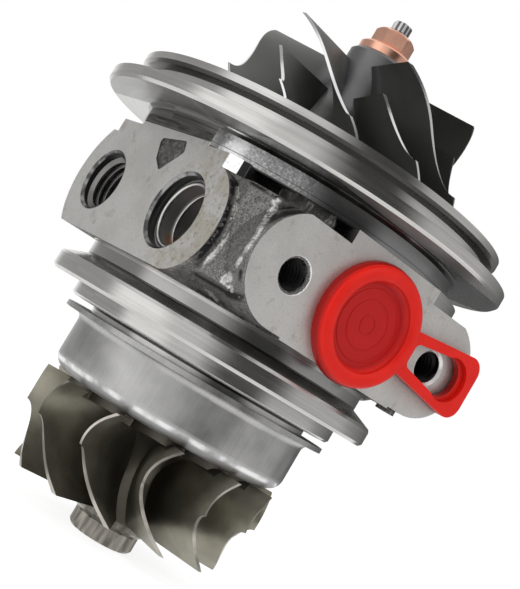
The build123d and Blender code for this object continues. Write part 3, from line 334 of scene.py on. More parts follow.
# Threads: radius, pitch and turns of each, then how their ridges are made, as shares of the pitch
COOLANT_THREAD = (6.0 * MM, 1.5 * MM, 8)
SCREW_THREAD = (3.0 * MM, 1.0 * MM, 13)
FEED_THREAD = (5.0 * MM, 1.25 * MM, 7)
THREAD_STEPS = 48
THREAD_RUN_OUT = 0.3
THREAD_LEAST = 0.02
THREAD_SHARE = 0.6
THREAD_SINK = 0.05
THREAD_PROFILE = ((0.0, -THREAD_SINK), (0.40, 1.0), (0.52, 1.0), (0.92, -THREAD_SINK))

# Rings: steps round them and over their arcs, and how far each sinks into what it lies on; the lips
# give their place inward from the step, radius and half width in millimetres, and the cap's rings
# their half width and rise
RING_STEPS = 96
CROWN_STEPS = 160
LIP_ARC = 8
CAP_RING_ARC = 6
CROWN_ARC = 14
LIP_SINK = 0.05 * MM
CROWN_SINK = 0.08 * MM
PORT_LIPS = (("outer", 0.0, 6.45, 0.45), ("inner", 3.2, 5.95, 0.25))
CAP_RING_SIZE = (0.16 * MM, 0.12 * MM)


def camera_axes():
    """Right, up and forward of the photograph's camera, rolled as the photograph is."""
    heading, pitch, roll = (radians(v) for v in (CAMERA_HEADING, CAMERA_PITCH, CAMERA_ROLL))
    forward = Vector((sin(heading) * cos(pitch), cos(heading) * cos(pitch), sin(pitch)))
    right = Vector((cos(heading), -sin(heading), 0))
    up = right.cross(forward)
    return right * cos(roll) + up * sin(roll), up * cos(roll) - right * sin(roll), forward


RIGHT, UP, FORWARD = camera_axes()


def grey(value):
    """RGBA from one level or three."""
    if isinstance(value, (int, float)):
        return (value, value, value, 1.0)
    return (*value[:3], 1.0)


class Graph:
    """One material with short calls for the nodes that it uses."""

    def __init__(self, name):
        self.material = bpy.data.materials.new(name)
        self.material.use_nodes = True
        self.tree = self.material.node_tree
        self.tree.nodes.clear()
        self.output = self.tree.nodes.new("ShaderNodeOutputMaterial")
        self.place = self.tree.nodes.new("ShaderNodeTexCoord").outputs["Object"]
        self.parts = self.add("ShaderNodeSeparateXYZ", self.place).outputs

    def add(self, kind, *values, **settings):
        """New node with its first inputs linked or set."""
        node = self.tree.nodes.new(kind)
        for key, value in settings.items():
            setattr(node, key, value)
        for socket, value in zip(node.inputs, values):
            self.feed(socket, value)
        return node

    def feed(self, socket, value):
        """Links an output into a socket, or sets the socket's value."""
        if isinstance(value, bpy.types.NodeSocket):
            self.tree.links.new(value, socket)
        elif value is not None:
            socket.default_value = value

    def math(self, operation, *values, clamp=False):
        return self.add("ShaderNodeMath", *values, operation=operation, use_clamp=clamp).outputs[0]

    def radius(self):
        """Distance from the shaft's axis."""
        return self.away_from(0, 1, 0.0, 0.0)

    def away_from(self, a, b, at_a, at_b):
        """Distance from a line along the third axis that passes through one point of two coordinates."""
        squares = [self.math("POWER", self.math("SUBTRACT", self.parts[i], at), 2.0)
                   for i, at in ((a, at_a), (b, at_b))]
        return self.math("SQRT", self.math("ADD", *squares))

    def azimuth(self):
        """Angle round the shaft in degrees."""
        return self.math("MULTIPLY", self.math("ARCTAN2", self.parts[1], self.parts[0]), 180 / pi)

    def around(self, radial, along, turn):
        """Coordinates that follow a turned surface: radius, height and azimuth, each scaled."""
        azimuth = self.math("ARCTAN2", self.parts[1], self.parts[0])
        joined = self.add("ShaderNodeCombineXYZ",
                          self.math("MULTIPLY", self.radius(), radial),
                          self.math("MULTIPLY", self.parts[2], along),
                          self.math("MULTIPLY", azimuth, turn))
        return joined.outputs[0]

    def step(self, value, edge, soft):
        """0 below edge and 1 above it, with a soft change."""
        node = self.add("ShaderNodeMapRange", value, edge - soft, edge + soft, 0.0, 1.0)
        node.interpolation_type = "SMOOTHSTEP"
        return node.outputs[0]

    def below(self, value, edge, soft):
        """1 below edge and 0 above it, with a soft change."""
        return self.math("SUBTRACT", 1.0, self.step(value, edge, soft))

    def band(self, value, low, high, soft):
        """1 between low and high."""
        return self.math("MULTIPLY", self.step(value, low, soft), self.below(value, high, soft))

    def any_of(self, *masks):
        """1 where one of the masks is 1."""
        total = masks[0]
        for mask in masks[1:]:
            total = self.math("MAXIMUM", total, mask)
        return total

    def all_of(self, *masks):
        """1 where all the masks are 1."""
        total = masks[0]
        for mask in masks[1:]:
            total = self.math("MULTIPLY", total, mask)
        return total

    def without(self, mask, *others):
        """The mask where none of the others is 1."""
        return self.math("MULTIPLY", mask, self.math("SUBTRACT", 1.0, self.any_of(*others)))

    def noise(self, vector, scale=1.0, detail=2.0, rough=0.5):
        node = self.add("ShaderNodeTexNoise", vector)
        node.inputs["Scale"].default_value = scale
        node.inputs["Detail"].default_value = detail
        node.inputs["Roughness"].default_value = rough
        return node.outputs[0]

    def weighed(self, a, share, b):
        """Sum of two numbers, the first with a share and the second with the rest."""
        return self.math("ADD", self.math("MULTIPLY", a, share), self.math("MULTIPLY", b, 1 - share))

    def spread(self, value, span, result):
        """Value mapped from one range to another and held inside it."""
        return self.add("ShaderNodeMapRange", value, *span, *result).outputs[0]

    def ramp(self, factor, *stops):
        """Colour ramp from (position, colour) stops."""
        node = self.add("ShaderNodeValToRGB", factor)
        elements = node.color_ramp.elements
        while len(elements) < len(stops):
            elements.new(0.5)
        for element, (position, colour) in zip(elements, stops):
            element.position = position
            element.color = grey(colour)
        return node.outputs[0]

    def mix(self, factor, a, b):
        """Mix of two colours."""
        node = self.tree.nodes.new("ShaderNodeMix")
        node.data_type = "RGBA"
        self.feed(node.inputs[0], factor)
        for socket, value in ((node.inputs[6], a), (node.inputs[7], b)):
            self.feed(socket, value if isinstance(value, bpy.types.NodeSocket) else grey(value))
        return node.outputs[2]

    def tint(self, mask, share, colour, tone):
        """Colour with some of another tone where the mask is 1."""
        return self.mix(self.math("MULTIPLY", mask, share), colour, tone)

    def blend(self, factor, a, b):
        """Mix of two numbers."""
        node = self.add("ShaderNodeMix", factor)
        self.feed(node.inputs[2], a)
        self.feed(node.inputs[3], b)
        return node.outputs[0]

    def bump(self, height, distance, strength=1.0, normal=None):
        """Normal that shows a height map; distance is the real height in metres."""
        node = self.tree.nodes.new("ShaderNodeBump")
        node.inputs["Strength"].default_value = strength
        node.inputs["Distance"].default_value = distance
        self.feed(node.inputs["Height"], height)
        self.feed(node.inputs["Normal"], normal)
        return node.outputs[0]

    def finish(self, colour, rough, normal=None, metal=1.0, turned=False, **sockets):
        """Joins everything to the shader; turned runs the grain round the shaft."""
        shader = self.tree.nodes.new("ShaderNodeBsdfPrincipled")
        if turned:
            around = self.tree.nodes.new("ShaderNodeTangent")
            around.direction_type = "RADIAL"
            around.axis = "Z"
            self.feed(shader.inputs["Tangent"], around.outputs[0])
        self.feed(shader.inputs["Base Color"], colour)
        self.feed(shader.inputs["Roughness"], rough)
        self.feed(shader.inputs["Metallic"], metal)
        self.feed(shader.inputs["Normal"], normal)
        for key, value in sockets.items():
            shader.inputs[key.replace("_", " ")].default_value = value
        self.tree.links.new(shader.outputs[0], self.output.inputs["Surface"])
        return self.material


# Stage: camera, lights, floor and studio wall

def link(name, data):
    """New object in the scene."""
    made = bpy.data.objects.new(name, data)
    bpy.context.scene.collection.objects.link(made)
    return made


def make_camera():
    data = bpy.data.cameras.new("photo_camera")
    data.sensor_width = SENSOR_MM
    data.lens = SENSOR_MM * FOCAL_PIXELS / PHOTO_HEIGHT
    data.clip_start = CLIP_START
    camera = link("photo_camera", data)
    turn = Matrix((RIGHT, UP, -FORWARD)).transposed().to_4x4()
    camera.matrix_world = Matrix.Translation(CAMERA_AT) @ turn
    bpy.context.scene.camera = camera


def area_light(name, offset, size, energy):
    """Soft box that shines at the target and that gloss doesn't see."""
    data = bpy.data.lights.new(name, "AREA")
    data.shape = "RECTANGLE"
    data.size, data.size_y = size
    data.energy = energy
    lamp = link(name, data)
    lamp.visible_glossy = False
    away = RIGHT * offset[0] + UP * offset[1] + FORWARD * offset[2]
    lamp.location = LIGHT_TARGET + away
    lamp.rotation_mode = "QUATERNION"
    lamp.rotation_quaternion = away.to_track_quat("Z", "Y")


def make_surround():
    """Sloping studio wall that only gloss sees: grey, with brighter and darker bands and one open side."""
    bm = bmesh.new()
    bmesh.ops.create_cone(bm, segments=SURROUND_SEGMENTS, radius1=SURROUND_FOOT_R, radius2=SURROUND_R,
                          depth=SURROUND_HEIGHT)
    mesh = bpy.data.meshes.new("surround")
    bm.to_mesh(mesh)
    bm.free()
    wall = link("surround", mesh)
    wall.rotation_euler = (0, 0, atan2(CAMERA_AT.y, CAMERA_AT.x))
    wall.location = (0, 0, CAD_BOX[0].z + SURROUND_HEIGHT / 2)
    g = Graph("surround_wall")
    azimuth = g.azimuth()
    level = WALL_LEVEL
    for low, high, soft, band_level in WALL_BANDS:
        level = g.blend(g.band(azimuth, low, high, soft), level, band_level)
    level = g.blend(g.step(azimuth, *SHADE_FROM), level, SHADE_LEVEL)
    level = g.blend(g.below(azimuth, *OPEN_BELOW), level, OPEN_LEVEL)
    shine = g.add("ShaderNodeEmission", grey(1.0), level).outputs[0]
    g.tree.links.new(shine, g.output.inputs[0])
    mesh.materials.append(g.material)
    wall.visible_camera = False
    wall.visible_diffuse = False
    wall.visible_shadow = False
    wall.visible_transmission = False


def light_path_mix(tree, plain, seen):
    """Shader that camera, glossy and transmission rays see, over the one that lights the object."""
    path = tree.nodes.new("ShaderNodeLightPath")
    seen_by = path.outputs["Is Camera Ray"]
    for name in ("Is Glossy Ray", "Is Transmission Ray"):
        either = tree.nodes.new("ShaderNodeMath")
        either.operation = "MAXIMUM"
        tree.links.new(seen_by, either.inputs[0])
        tree.links.new(path.outputs[name], either.inputs[1])
        seen_by = either.outputs[0]
    mixer = tree.nodes.new("ShaderNodeMixShader")
    tree.links.new(seen_by, mixer.inputs[0])
    tree.links.new(plain, mixer.inputs[1])
    tree.links.new(seen, mixer.inputs[2])
    return mixer.outputs[0]


def make_world():
    world = bpy.data.worlds.new("studio")
    world.use_nodes = True
    bpy.context.scene.world = world
    tree = world.node_tree
    tree.nodes.clear()
    plain = tree.nodes.new("ShaderNodeBackground")
    plain.inputs[0].default_value = grey(WORLD_LEVEL)
    seen = tree.nodes.new("ShaderNodeBackground")
    seen.inputs[0].default_value = grey(1.0)
    output = tree.nodes.new("ShaderNodeOutputWorld")
    tree.links.new(light_path_mix(tree, plain.outputs[0], seen.outputs[0]), output.inputs[0])


def make_floor():
    """Pale floor under the part; most of its own white is emitted, and the rest keeps the shadow."""
    low = CAD_BOX[0].z - FLOOR_GAP
    reach = FLOOR_REACH
    mesh = bpy.data.meshes.new("floor")
    mesh.from_pydata([(-reach, -reach, low), (reach, -reach, low), (reach, reach, low), (-reach, reach, low)],
                     [], [(0, 1, 2, 3)])
    floor = link("floor", mesh)
    g = Graph("floor_paper")
    paper = g.add("ShaderNodeBsdfDiffuse", grey(PAPER_LEVEL)).outputs[0]
    shaded = g.add("ShaderNodeBsdfDiffuse", grey(FLOOR_SHADED)).outputs[0]
    shine = g.add("ShaderNodeEmission", grey(1.0), FLOOR_SHINE).outputs[0]
    seen = g.add("ShaderNodeAddShader", shaded, shine).outputs[0]
    g.tree.links.new(light_path_mix(g.tree, paper, seen), g.output.inputs[0])
    mesh.materials.append(g.material)


def make_stage():
    make_camera()
    make_world()
    make_floor()
    for lamp in LAMPS:
        area_light(*lamp)
    make_surround()
    bpy.context.scene.view_settings.view_transform = "Standard"


# Materials: first where each finish of the housing lies

def on_side_pad(g):
    """1 on the coolant pad's face."""
    return g.math("LESS_THAN", g.parts[0], -SIDE_FACE + PAD_SKIN)


def bored_faces(g):
    """1 on the walls and countersinks of the housing's ports."""
    x, y = g.parts[0], g.parts[1]
    holes = []
    for at_y, radius in THREADED_PORT, STEPPED_PORT:
        near = g.math("LESS_THAN", g.away_from(1, 2, at_y, PORT_Z), radius)
        holes.append(g.all_of(near, g.math("LESS_THAN", x, -PORT_DEEP)))
    for at_x, radius in (-DRAIN_SCREW_X, DRAIN_SCREW_R), (0, DRAIN_BORE_R), (DRAIN_SCREW_X, DRAIN_SCREW_R):
        near = g.math("LESS_THAN", g.away_from(0, 2, at_x, PORT_Z), radius)
        holes.append(g.all_of(near, g.math("LESS_THAN", y, -PORT_DEEP)))
    near = g.math("LESS_THAN", g.away_from(0, 2, 0.0, PORT_Z), FEED_R)
    holes.append(g.all_of(near, g.math("GREATER_THAN", y, PORT_DEEP)))
    near = g.math("LESS_THAN", g.away_from(1, 2, 0.0, PORT_Z), PLUG_R)
    holes.append(g.all_of(near, g.math("GREATER_THAN", x, PORT_DEEP)))
    return g.any_of(*holes)


def milled_faces(g):
    """1 on the flat pads."""
    x, y, z = g.parts
    drain = g.math("LESS_THAN", y, -DRAIN_FACE + PAD_SKIN)
    feed = g.math("GREATER_THAN", y, FEED_FACE - PAD_SKIN)
    plug = g.math("GREATER_THAN", x, PLUG_FACE - PAD_SKIN)
    return g.all_of(g.any_of(on_side_pad(g), drain, feed, plug), g.band(z, V_ROOT, FLANGE_LOW, SHARP))


def cast_faces(g, milled, bored):
    """Masks of the cast skin and of the pocket in it."""
    radius = g.radius()
    z = g.parts[2]
    drum = g.all_of(g.step(radius, CAST_R, SHARP), g.band(z, CAST_LOW, COLLAR_LOW, SHARP))
    pocket = g.all_of(g.band(g.azimuth(), *POCKET_SPAN, POCKET_SOFT), g.band(z, COLLAR_LOW, COLLAR_TOP, SHARP),
                      g.math("LESS_THAN", radius, POCKET_RIM_R))
    cast = g.without(g.any_of(drum, pocket), milled, bored)
    return g.any_of(cast, scar_floor(g)), pocket


def scar_floor(g):
    """1 on the rough hollow in the coolant pad."""
    x, y, z = g.parts
    depth = g.band(x, -SIDE_FACE + PAD_SKIN, -SIDE_FACE + SCAR_DEPTH, 0.02 * MM)
    return g.all_of(depth, g.band(y, *SCAR_SPAN_Y, SHARP), g.band(z, *SCAR_SPAN_Z, SHARP))


def neck_reflections_and_grain(g, azimuth):
    """Painted reflections and painted shade round the neck under the large flange, by azimuth, with grain
    beside the tab.
    """
    mottle = g.spread(g.noise(g.place, scale=900, detail=4, rough=0.65), MIDDLE, (-1.6, 1.6))
    along = g.spread(g.math("ADD", azimuth, mottle), NECK_SPAN, (0.0, 1.0))
    start, end = NECK_SPAN
    painted_reflections = g.ramp(along, *(((at - start) / (end - start), level) for at, level in NECK_REFLECTIONS))
    grains = g.ramp(g.noise(g.place, scale=2000, detail=4, rough=0.75), *NECK_GRAINS)
    return g.tint(g.band(azimuth, *GRAINY_SPAN, GRAINY_SOFT), 0.4, painted_reflections, grains)


def turned_paint(g):
    """Turned ends of the housing: streaks, both necks, dark lines painted as shade at creases, and the tab
    beside the pocket, painted bright as a highlight, with its end painted dark as shade.
    """
    z = g.parts[2]
    azimuth = g.azimuth()
    streak = g.noise(g.around(900, 1400, 2), detail=3)
    colour = g.ramp(streak, (MIDDLE[0], TURNED_DARK), (MIDDLE[1], TURNED_LIGHT))
    colour = g.mix(g.band(z, V_ROOT, CAST_LOW, SOFT), colour, LOWER_NECK)
    # The upper neck gets painted reflections and painted shade by azimuth
    colour = g.mix(g.band(z, COLLAR_TOP, FLANGE_LOW, SOFT), colour, neck_reflections_and_grain(g, azimuth))
    # Dark lines painted at creases and edges: painted shade
    shade_lines = [g.band(z, at * MM - half * MM, at * MM + half * MM, 0.04 * MM) for at, half in SHADE_LINES]
    colour = g.mix(g.any_of(*shade_lines), colour, CREASE_SHADE)
    collar = g.band(z, COLLAR_LOW, COLLAR_TOP, SHARP)
    tab = g.all_of(g.band(azimuth, *TAB_SPAN, TAB_SOFT), collar, g.step(g.radius(), TAB_R, 0.2 * MM))
    speckle = g.step(g.noise(g.place, scale=1400, detail=3, rough=0.7), 0.42, 0.08)
    # The tab is painted bright: a painted highlight
    colour = g.mix(tab, colour, g.mix(speckle, *TAB_HIGHLIGHT))
    # The collar's end beside the pocket is painted dark: painted shade
    tab_end_shade = g.all_of(g.band(azimuth, TAB_SPAN[1] + 0.1, POCKET_SPAN[0], 0.1), collar)
    return g.mix(tab_end_shade, colour, TAB_END_SHADE)


def milled_paint(g, speck):
    """Milled pads: specks, soot, rust near the drain side, stains, and the turned flat above, painted dark as
    shade.
    """
    y, z = g.parts[1], g.parts[2]
    side = on_side_pad(g)
    colour = g.ramp(speck, *MILLED)
    soot = g.noise(g.place, scale=110, detail=5, rough=0.6)
    colour = g.mix(g.spread(soot, (0.42, 0.62), (0.0, 0.35)), colour, SOOT)
    rusty = g.all_of(g.below(y, RUST_Y, 6 * MM), side)
    spot = g.noise(g.place, scale=900, detail=4, rough=0.7)
    colour = g.tint(g.all_of(rusty, g.step(spot, 0.59, 0.08)), 0.62, colour, RUST)
    film = g.noise(g.place, scale=260, detail=3, rough=0.6)
    colour = g.tint(g.all_of(rusty, g.step(film, 0.52, 0.1)), 0.4, colour, OLIVE)
    stain = g.noise(g.place, scale=330, detail=4, rough=0.65)
    colour = g.tint(g.step(stain, 0.63, 0.05), 0.35, colour, STAIN)

    # The turned flat above the side pad, under the flange, is painted dark: painted shade
    flat_shade = g.ramp(g.noise(g.around(1200, 2600, 1), detail=3, rough=0.7), *FLAT_PAINTED_SHADE)
    edge = g.band(z, FLAT_LOW - 0.1 * MM, FLAT_LOW + 0.12 * MM, SHARP)
    flat_shade = g.mix(edge, flat_shade, FLAT_EDGE)
    return g.mix(g.all_of(g.step(z, FLAT_LOW, 0.04 * MM), side), colour, flat_shade)


def bored_paint(g):
    """Walls of the ports: scratched countersinks, the step wall and the screw holes painted dark as shade, and
    a copper glint painted as a reflection.
    """
    x, y, z = g.parts
    # Painted copper glint inside the stepped port: a painted reflection
    copper_glint = g.all_of(g.band(x, *COPPER_X, 1 * MM), g.step(y, COPPER_Y, 2 * MM),
                      g.below(z, COPPER_TOP, 1.2 * MM))
    colour = g.mix(copper_glint, BORED, COPPER_GLINT)
    # The step wall is painted dark: painted shade
    colour = g.mix(g.band(x, *STEP_WALL_X, SHARP), colour, STEP_WALL_SHADE)
    scratch = g.ramp(g.noise(g.place, scale=420, detail=3), *SCRATCHES)
    colour = g.mix(g.math("LESS_THAN", x, -SIDE_FACE + COUNTERSINK), colour, scratch)
    # The screw holes are painted dark deep inside: painted shade
    screw_hole = g.all_of(g.math("LESS_THAN", y, -PORT_DEEP), g.step(y, -DRAIN_FACE + SCREW_HOLE_LOW, SOFT))
    colour = g.mix(screw_hole, colour, SCREW_HOLE_SHADE)
    return g.mix(g.math("LESS_THAN", y, -DRAIN_FACE + SCREW_SINK), colour, SCREW_SINK_LEVEL)


def housing_iron():
    """Grey iron: turned at both ends, milled on the pads, bored in the ports, rough cast between them."""
    g = Graph("housing_iron")
    milled = milled_faces(g)
    bored = bored_faces(g)
    cast, pocket = cast_faces(g, milled, bored)
    lathe = g.noise(g.around(7000, 9000, 2), detail=4, rough=0.7)
    speck = g.noise(g.place, scale=2600, detail=3, rough=0.75)
    grain = g.noise(g.place, scale=2200, detail=4, rough=0.7)
    lump = g.noise(g.place, scale=520, detail=4, rough=0.6)

    cast_colour = g.ramp(g.weighed(grain, 0.65, lump),
                         (0.36, CAST_DARK), (0.52, CAST_MIDDLE), (0.66, CAST_LIGHT))
    # The pocket is painted near black: painted shade
    cast_colour = g.mix(pocket, cast_colour, POCKET_SHADE)
    colour = g.mix(milled, turned_paint(g), milled_paint(g, speck))
    colour = g.mix(bored, colour, bored_paint(g))
    colour = g.mix(cast, colour, cast_colour)

    turned_rough = g.spread(lathe, (0.35, 0.7), (0.17, 0.27))
    rough = g.blend(bored, g.blend(milled, turned_rough, 0.46), 0.3)
    rough = g.blend(cast, rough, g.spread(grain, MIDDLE, (0.38, 0.6)))
    metal = g.blend(cast, g.blend(bored, g.blend(milled, 1.0, 0.85), 0.75), 0.8)
    fine = g.bump(lathe, 0.006 * MM, 0.4)
    fine = g.bump(g.math("MULTIPLY", speck, milled), 0.02 * MM, 0.5, fine)
    normal = g.bump(g.math("MULTIPLY", g.weighed(grain, 0.35, lump), cast), 1.1 * MM, 1.0, fine)
    return g.finish(colour, rough, normal, metal, turned=True, Anisotropic=0.55, Anisotropic_Rotation=0.25)


def cast_skin_iron():
    """Rough cast iron of the added skins, which carry their rubbed spots and the painted shade of their
    hollows as a mesh attribute.
    """
    g = Graph("cast_skin_iron")
    grain = g.noise(g.place, scale=3400, detail=4, rough=0.8)
    wear_and_shade = g.add("ShaderNodeAttribute", attribute_name="wear_and_shade").outputs["Fac"]
    plain = g.ramp(grain, (0.34, CAST_DARK), (0.5, SKIN_MIDDLE), (0.68, CAST_LIGHT))
    # Hollows are painted dark: painted shade
    plain = g.mix(g.spread(wear_and_shade, (-0.8, -0.05), (1.0, 0.0)), plain, g.mix(grain, *SKIN_HOLLOW_SHADE))
    rubbed = g.ramp(grain, *SKIN_RUBBED)
    rubbed_share = g.spread(wear_and_shade, (0.05, 0.9), (0.0, 1.0))
    rough = g.blend(rubbed_share, g.spread(grain, MIDDLE, (0.36, 0.56)), 0.3)
    return g.finish(g.mix(rubbed_share, plain, rubbed), rough, g.bump(grain, 0.14 * MM, 0.8), 0.85)


def varied(g, texture, rough, span=MIDDLE):
    """Roughness that a texture varies by 15% each way."""
    return g.spread(texture, span, (rough * 0.85, rough * 1.15))


def drawn_steel(name, dark, light, rough, grain):
    """Satin steel with lines round the shaft and cloudy patches; its lowest lip is duller and painted darker
    as shade, with painted glints.
    """
    g = Graph(name)
    z = g.parts[2]
    lines = g.noise(g.around(4000, 6000, 2), detail=3)
    scratch = g.noise(g.around(260, 60, 110), detail=3, rough=0.6)
    cloud = g.noise(g.place, scale=150, detail=3)
    mixed = g.weighed(scratch, 0.25, cloud)
    shade = g.ramp(mixed, (0.36, dark), (0.62, light))
    normal = g.bump(scratch, 0.006 * MM, grain, g.bump(lines, 0.006 * MM, grain))
    above_lip = g.step(z, LIP_Z, 0.7 * MM)
    satin = g.blend(above_lip, LIP_ROUGH, varied(g, mixed, rough, (0.35, 0.65)))
    # The lowest lip is painted darker: painted shade
    shade = g.mix(above_lip, g.mix(cloud, *LIP_PAINTED_SHADE), shade)
    blotch = g.step(g.noise(g.place, scale=190, detail=3), 0.47, 0.1)
    # Glints painted along the lip: painted highlights
    glint = g.all_of(g.band(z, *GLINT_SPAN, 0.3 * MM), blotch)
    shade = g.tint(glint, 0.75, shade, GLINT)
    satin = g.blend(glint, satin, GLINT_ROUGH)
    return g.finish(shade, satin, normal, turned=True, Anisotropic=0.3, Anisotropic_Rotation=0.25)


def trimmed_edge(g, share, outer, wide, depth, soft):
    """1 on blade edges along an elliptic shroud line; share runs from 0 to 1 along the ellipse."""
    arc = g.math("SQRT", g.math("SUBTRACT", 1.0, g.math("POWER", share, 2.0)))
    limit = g.math("SUBTRACT", outer, g.math("MULTIPLY", arc, wide))
    return g.step(g.math("SUBTRACT", g.radius(), limit), -depth, soft)


def compressor_aluminium():
    """Grey-black machined aluminium, bright on the trimmed blade edges and lighter on the hub's nose."""
    g = Graph("wheel_aluminium")
    z = g.parts[2]
    start, tall, wide = COMP_SHROUD
    drop = g.math("DIVIDE", g.math("SUBTRACT", start, z), tall, clamp=True)
    bright = g.all_of(trimmed_edge(g, drop, COMP_R, wide, 0.1 * MM, 0.04 * MM), g.step(z, COMP_TIP_Z, SOFT))
    cloud = g.noise(g.place, scale=140, detail=4)
    grain = g.noise(g.place, scale=3200, detail=3, rough=0.6)
    tool = g.noise(g.around(1500, 1500, 1), detail=2)
    colour = g.ramp(cloud, *COMP_SHADES)
    hub = g.all_of(g.below(g.radius(), HUB_R, 1.2 * MM), g.step(z, HUB_Z, 2 * MM))
    colour = g.mix(hub, colour, g.mix(cloud, *COMP_HUB))
    colour = g.mix(bright, colour, COMP_EDGE)
    rough = g.blend(bright, g.spread(grain, MIDDLE, (0.36, 0.46)), 0.25)
    normal = g.bump(tool, 0.015 * MM, 0.3, g.bump(grain, 0.02 * MM, 0.35))
    metal = g.any_of(bright, g.math("MULTIPLY", hub, 0.8))
    return g.finish(colour, rough, normal, metal, Specular_IOR_Level=0.5)


def turbine_alloy():
    """Brown-grey cast alloy: painted shade deep between the blades, bright on their edges, machined on the
    nose.
    """
    g = Graph("turbine_alloy")
    z = g.parts[2]
    start, tall, wide = TURB_SHROUD
    rise = g.math("DIVIDE", g.math("ADD", z, start), tall, clamp=True)
    edge = trimmed_edge(g, rise, TURB_R, wide, 0.06 * MM, 0.03 * MM)
    nose = g.below(z, NOSE_CONE_Z, 0.15 * MM)
    cloud = g.noise(g.place, scale=170, detail=4)
    grain = g.noise(g.place, scale=2600, detail=3, rough=0.65)
    colour = g.ramp(cloud, *TURB_SHADES)
    # Painted shade deep between the blades
    colour = g.tint(g.below(g.radius(), DEEP_R, 3.5 * MM), 0.75, colour, TURB_DEEP_SHADE)
    disc_rim = g.all_of(g.step(z, DISC_RIM_Z, 0.3 * MM), g.math("LESS_THAN", g.radius(), DISC_RIM_R))
    colour = g.mix(disc_rim, colour, TURB_DISC_RIM)
    glint = g.step(g.noise(g.place, scale=95, detail=3), 0.5, 0.12)
    colour = g.mix(edge, colour, g.mix(glint, *TURB_EDGE))
    facet = g.step(g.noise(g.around(300, 120, 4), detail=2), 0.5, 0.2)
    colour = g.mix(nose, colour, g.mix(facet, *TURB_NOSE))
    rough = g.blend(edge, g.spread(cloud, MIDDLE, (0.36, 0.46)), 0.28)
    return g.finish(colour, g.blend(nose, rough, 0.3), g.bump(grain, 0.03 * MM, 0.4), 0.85)


def shaft_steel():
    """Ground steel, with bright and dark points painted round the end that stands above the nut, as highlights
    and shade of facets.
    """
    g = Graph("shaft_steel")
    azimuth = g.math("ARCTAN2", g.parts[1], g.parts[0])
    wave = g.math("SINE", g.math("MULTIPLY", azimuth, SHAFT_POINTS))
    cloud = g.noise(g.place, scale=420, detail=3)
    # Bright and dark points painted round the end: painted highlights and shade of facets
    points = g.mix(g.step(wave, 0.1, 0.6), *SHAFT_POINT_LIGHT_AND_SHADE)
    above_nut = g.step(g.parts[2], SHAFT_END_Z, 0.2 * MM)
    colour = g.mix(above_nut, g.mix(cloud, *SHAFT_SHADES), points)
    return g.finish(colour, g.spread(cloud, MIDDLE, (0.2, 0.28)))


def plain_metal(name, colour, rough):
    """Bright metal with a little cloud and fine grain."""
    g = Graph(name)
    cloud = g.noise(g.place, scale=420, detail=3)
    grain = g.noise(g.place, scale=4000, detail=2)
    shade = g.ramp(cloud, (MIDDLE[0], tuple(v * 0.8 for v in colour)), (MIDDLE[1], colour))
    return g.finish(shade, varied(g, cloud, rough), g.bump(grain, 0.02 * MM, 0.3))


def cap_plastic():
    """Soft red moulded plastic, with painted shade on the recess's floor and round the outside."""
    g = Graph("cap_plastic")
    y = g.parts[1]
    cloud = g.noise(g.place, scale=200, detail=3)
    grain = g.noise(g.place, scale=1500, detail=2)
    colour = g.ramp(cloud, *CAP_SHADES)
    radius = g.away_from(0, 2, 0.0, PORT_Z)
    floor = g.all_of(g.math("LESS_THAN", radius, CAP_RECESS_R), g.step(y, -CAP_FRONT + 0.9 * MM, 0.3 * MM))
    # The recess's floor is painted darker: painted shade
    colour = g.mix(floor, colour, g.mix(cloud, *CAP_FLOOR_SHADE))
    side = g.all_of(g.step(radius, CAP_SIDE_R, 0.15 * MM), g.step(y, -CAP_FRONT + 0.35 * MM, 0.25 * MM))
    # The outer side is painted darker: painted shade
    colour = g.mix(side, colour, CAP_SIDE_SHADE)
    return g.finish(colour, g.spread(cloud, MIDDLE, (0.3, 0.38)), g.bump(grain, 0.03 * MM, 0.25), 0.0,
                    Specular_IOR_Level=0.22)


def rubber():
    g = Graph("seal_rubber")
    grain = g.noise(g.place, scale=3000, detail=2)
    colour = g.ramp(grain, *RUBBER_SHADES)
    return g.finish(colour, g.spread(grain, MIDDLE, (0.6, 0.75)), g.bump(grain, 0.03 * MM, 0.3), 0.0)


def paint_nodes():
    """Gives every CAD node its finish, and hands the finishes back by node."""
    steel = plain_metal("ground_steel", (0.30, 0.295, 0.29), 0.2)
    iron = plain_metal("ring_iron", (0.32, 0.32, 0.33), 0.4)
    bronze = plain_metal("bearing_bronze", (0.72, 0.53, 0.3), 0.35)
    spring = plain_metal("spring_steel", (0.2, 0.2, 0.21), 0.4)
    plated = plain_metal("plated_steel", (0.6, 0.6, 0.58), 0.3)
    finishes = {
        "bearing_housing": housing_iron(),
        "heat_shield": drawn_steel("shield_steel", (0.36, 0.357, 0.353), (0.50, 0.497, 0.49), 0.4, 0.4),
        "turbine_wheel": turbine_alloy(),
        "compressor_wheel": compressor_aluminium(),
        "compressor_nut": plain_metal("nut_copper", (0.93, 0.50, 0.36), 0.3),
        "drain_cap": cap_plastic(),
        "rotor_shaft": shaft_steel(),
        "seal_plate": drawn_steel("plate_aluminium", (0.6, 0.6, 0.61), (0.75, 0.75, 0.76), 0.3, 0.4),
        "seal_plate_o_ring": rubber(),
    }
    groups = (
        (steel, ("thrust_washer", "thrust_collar", "seal_sleeve")),
        (iron, ("turbine_seal_ring_inner", "turbine_seal_ring_outer", "compressor_seal_ring")),
        (bronze, ("turbine_journal_bearing", "compressor_journal_bearing", "thrust_bearing")),
        (spring, ("snap_ring_turbine_lower", "snap_ring_turbine_upper", "snap_ring_compressor",
                  "thrust_pins", "retaining_ring")),
        (plated, ("core_plug", "oil_baffle")),
    )
    for finish, names in groups:
        finishes.update({name: finish for name in names})
    for name, finish in finishes.items():
        NODES[name].data.materials.clear()
        NODES[name].data.materials.append(finish)
    return finishes


# Pieces that the solids leave out

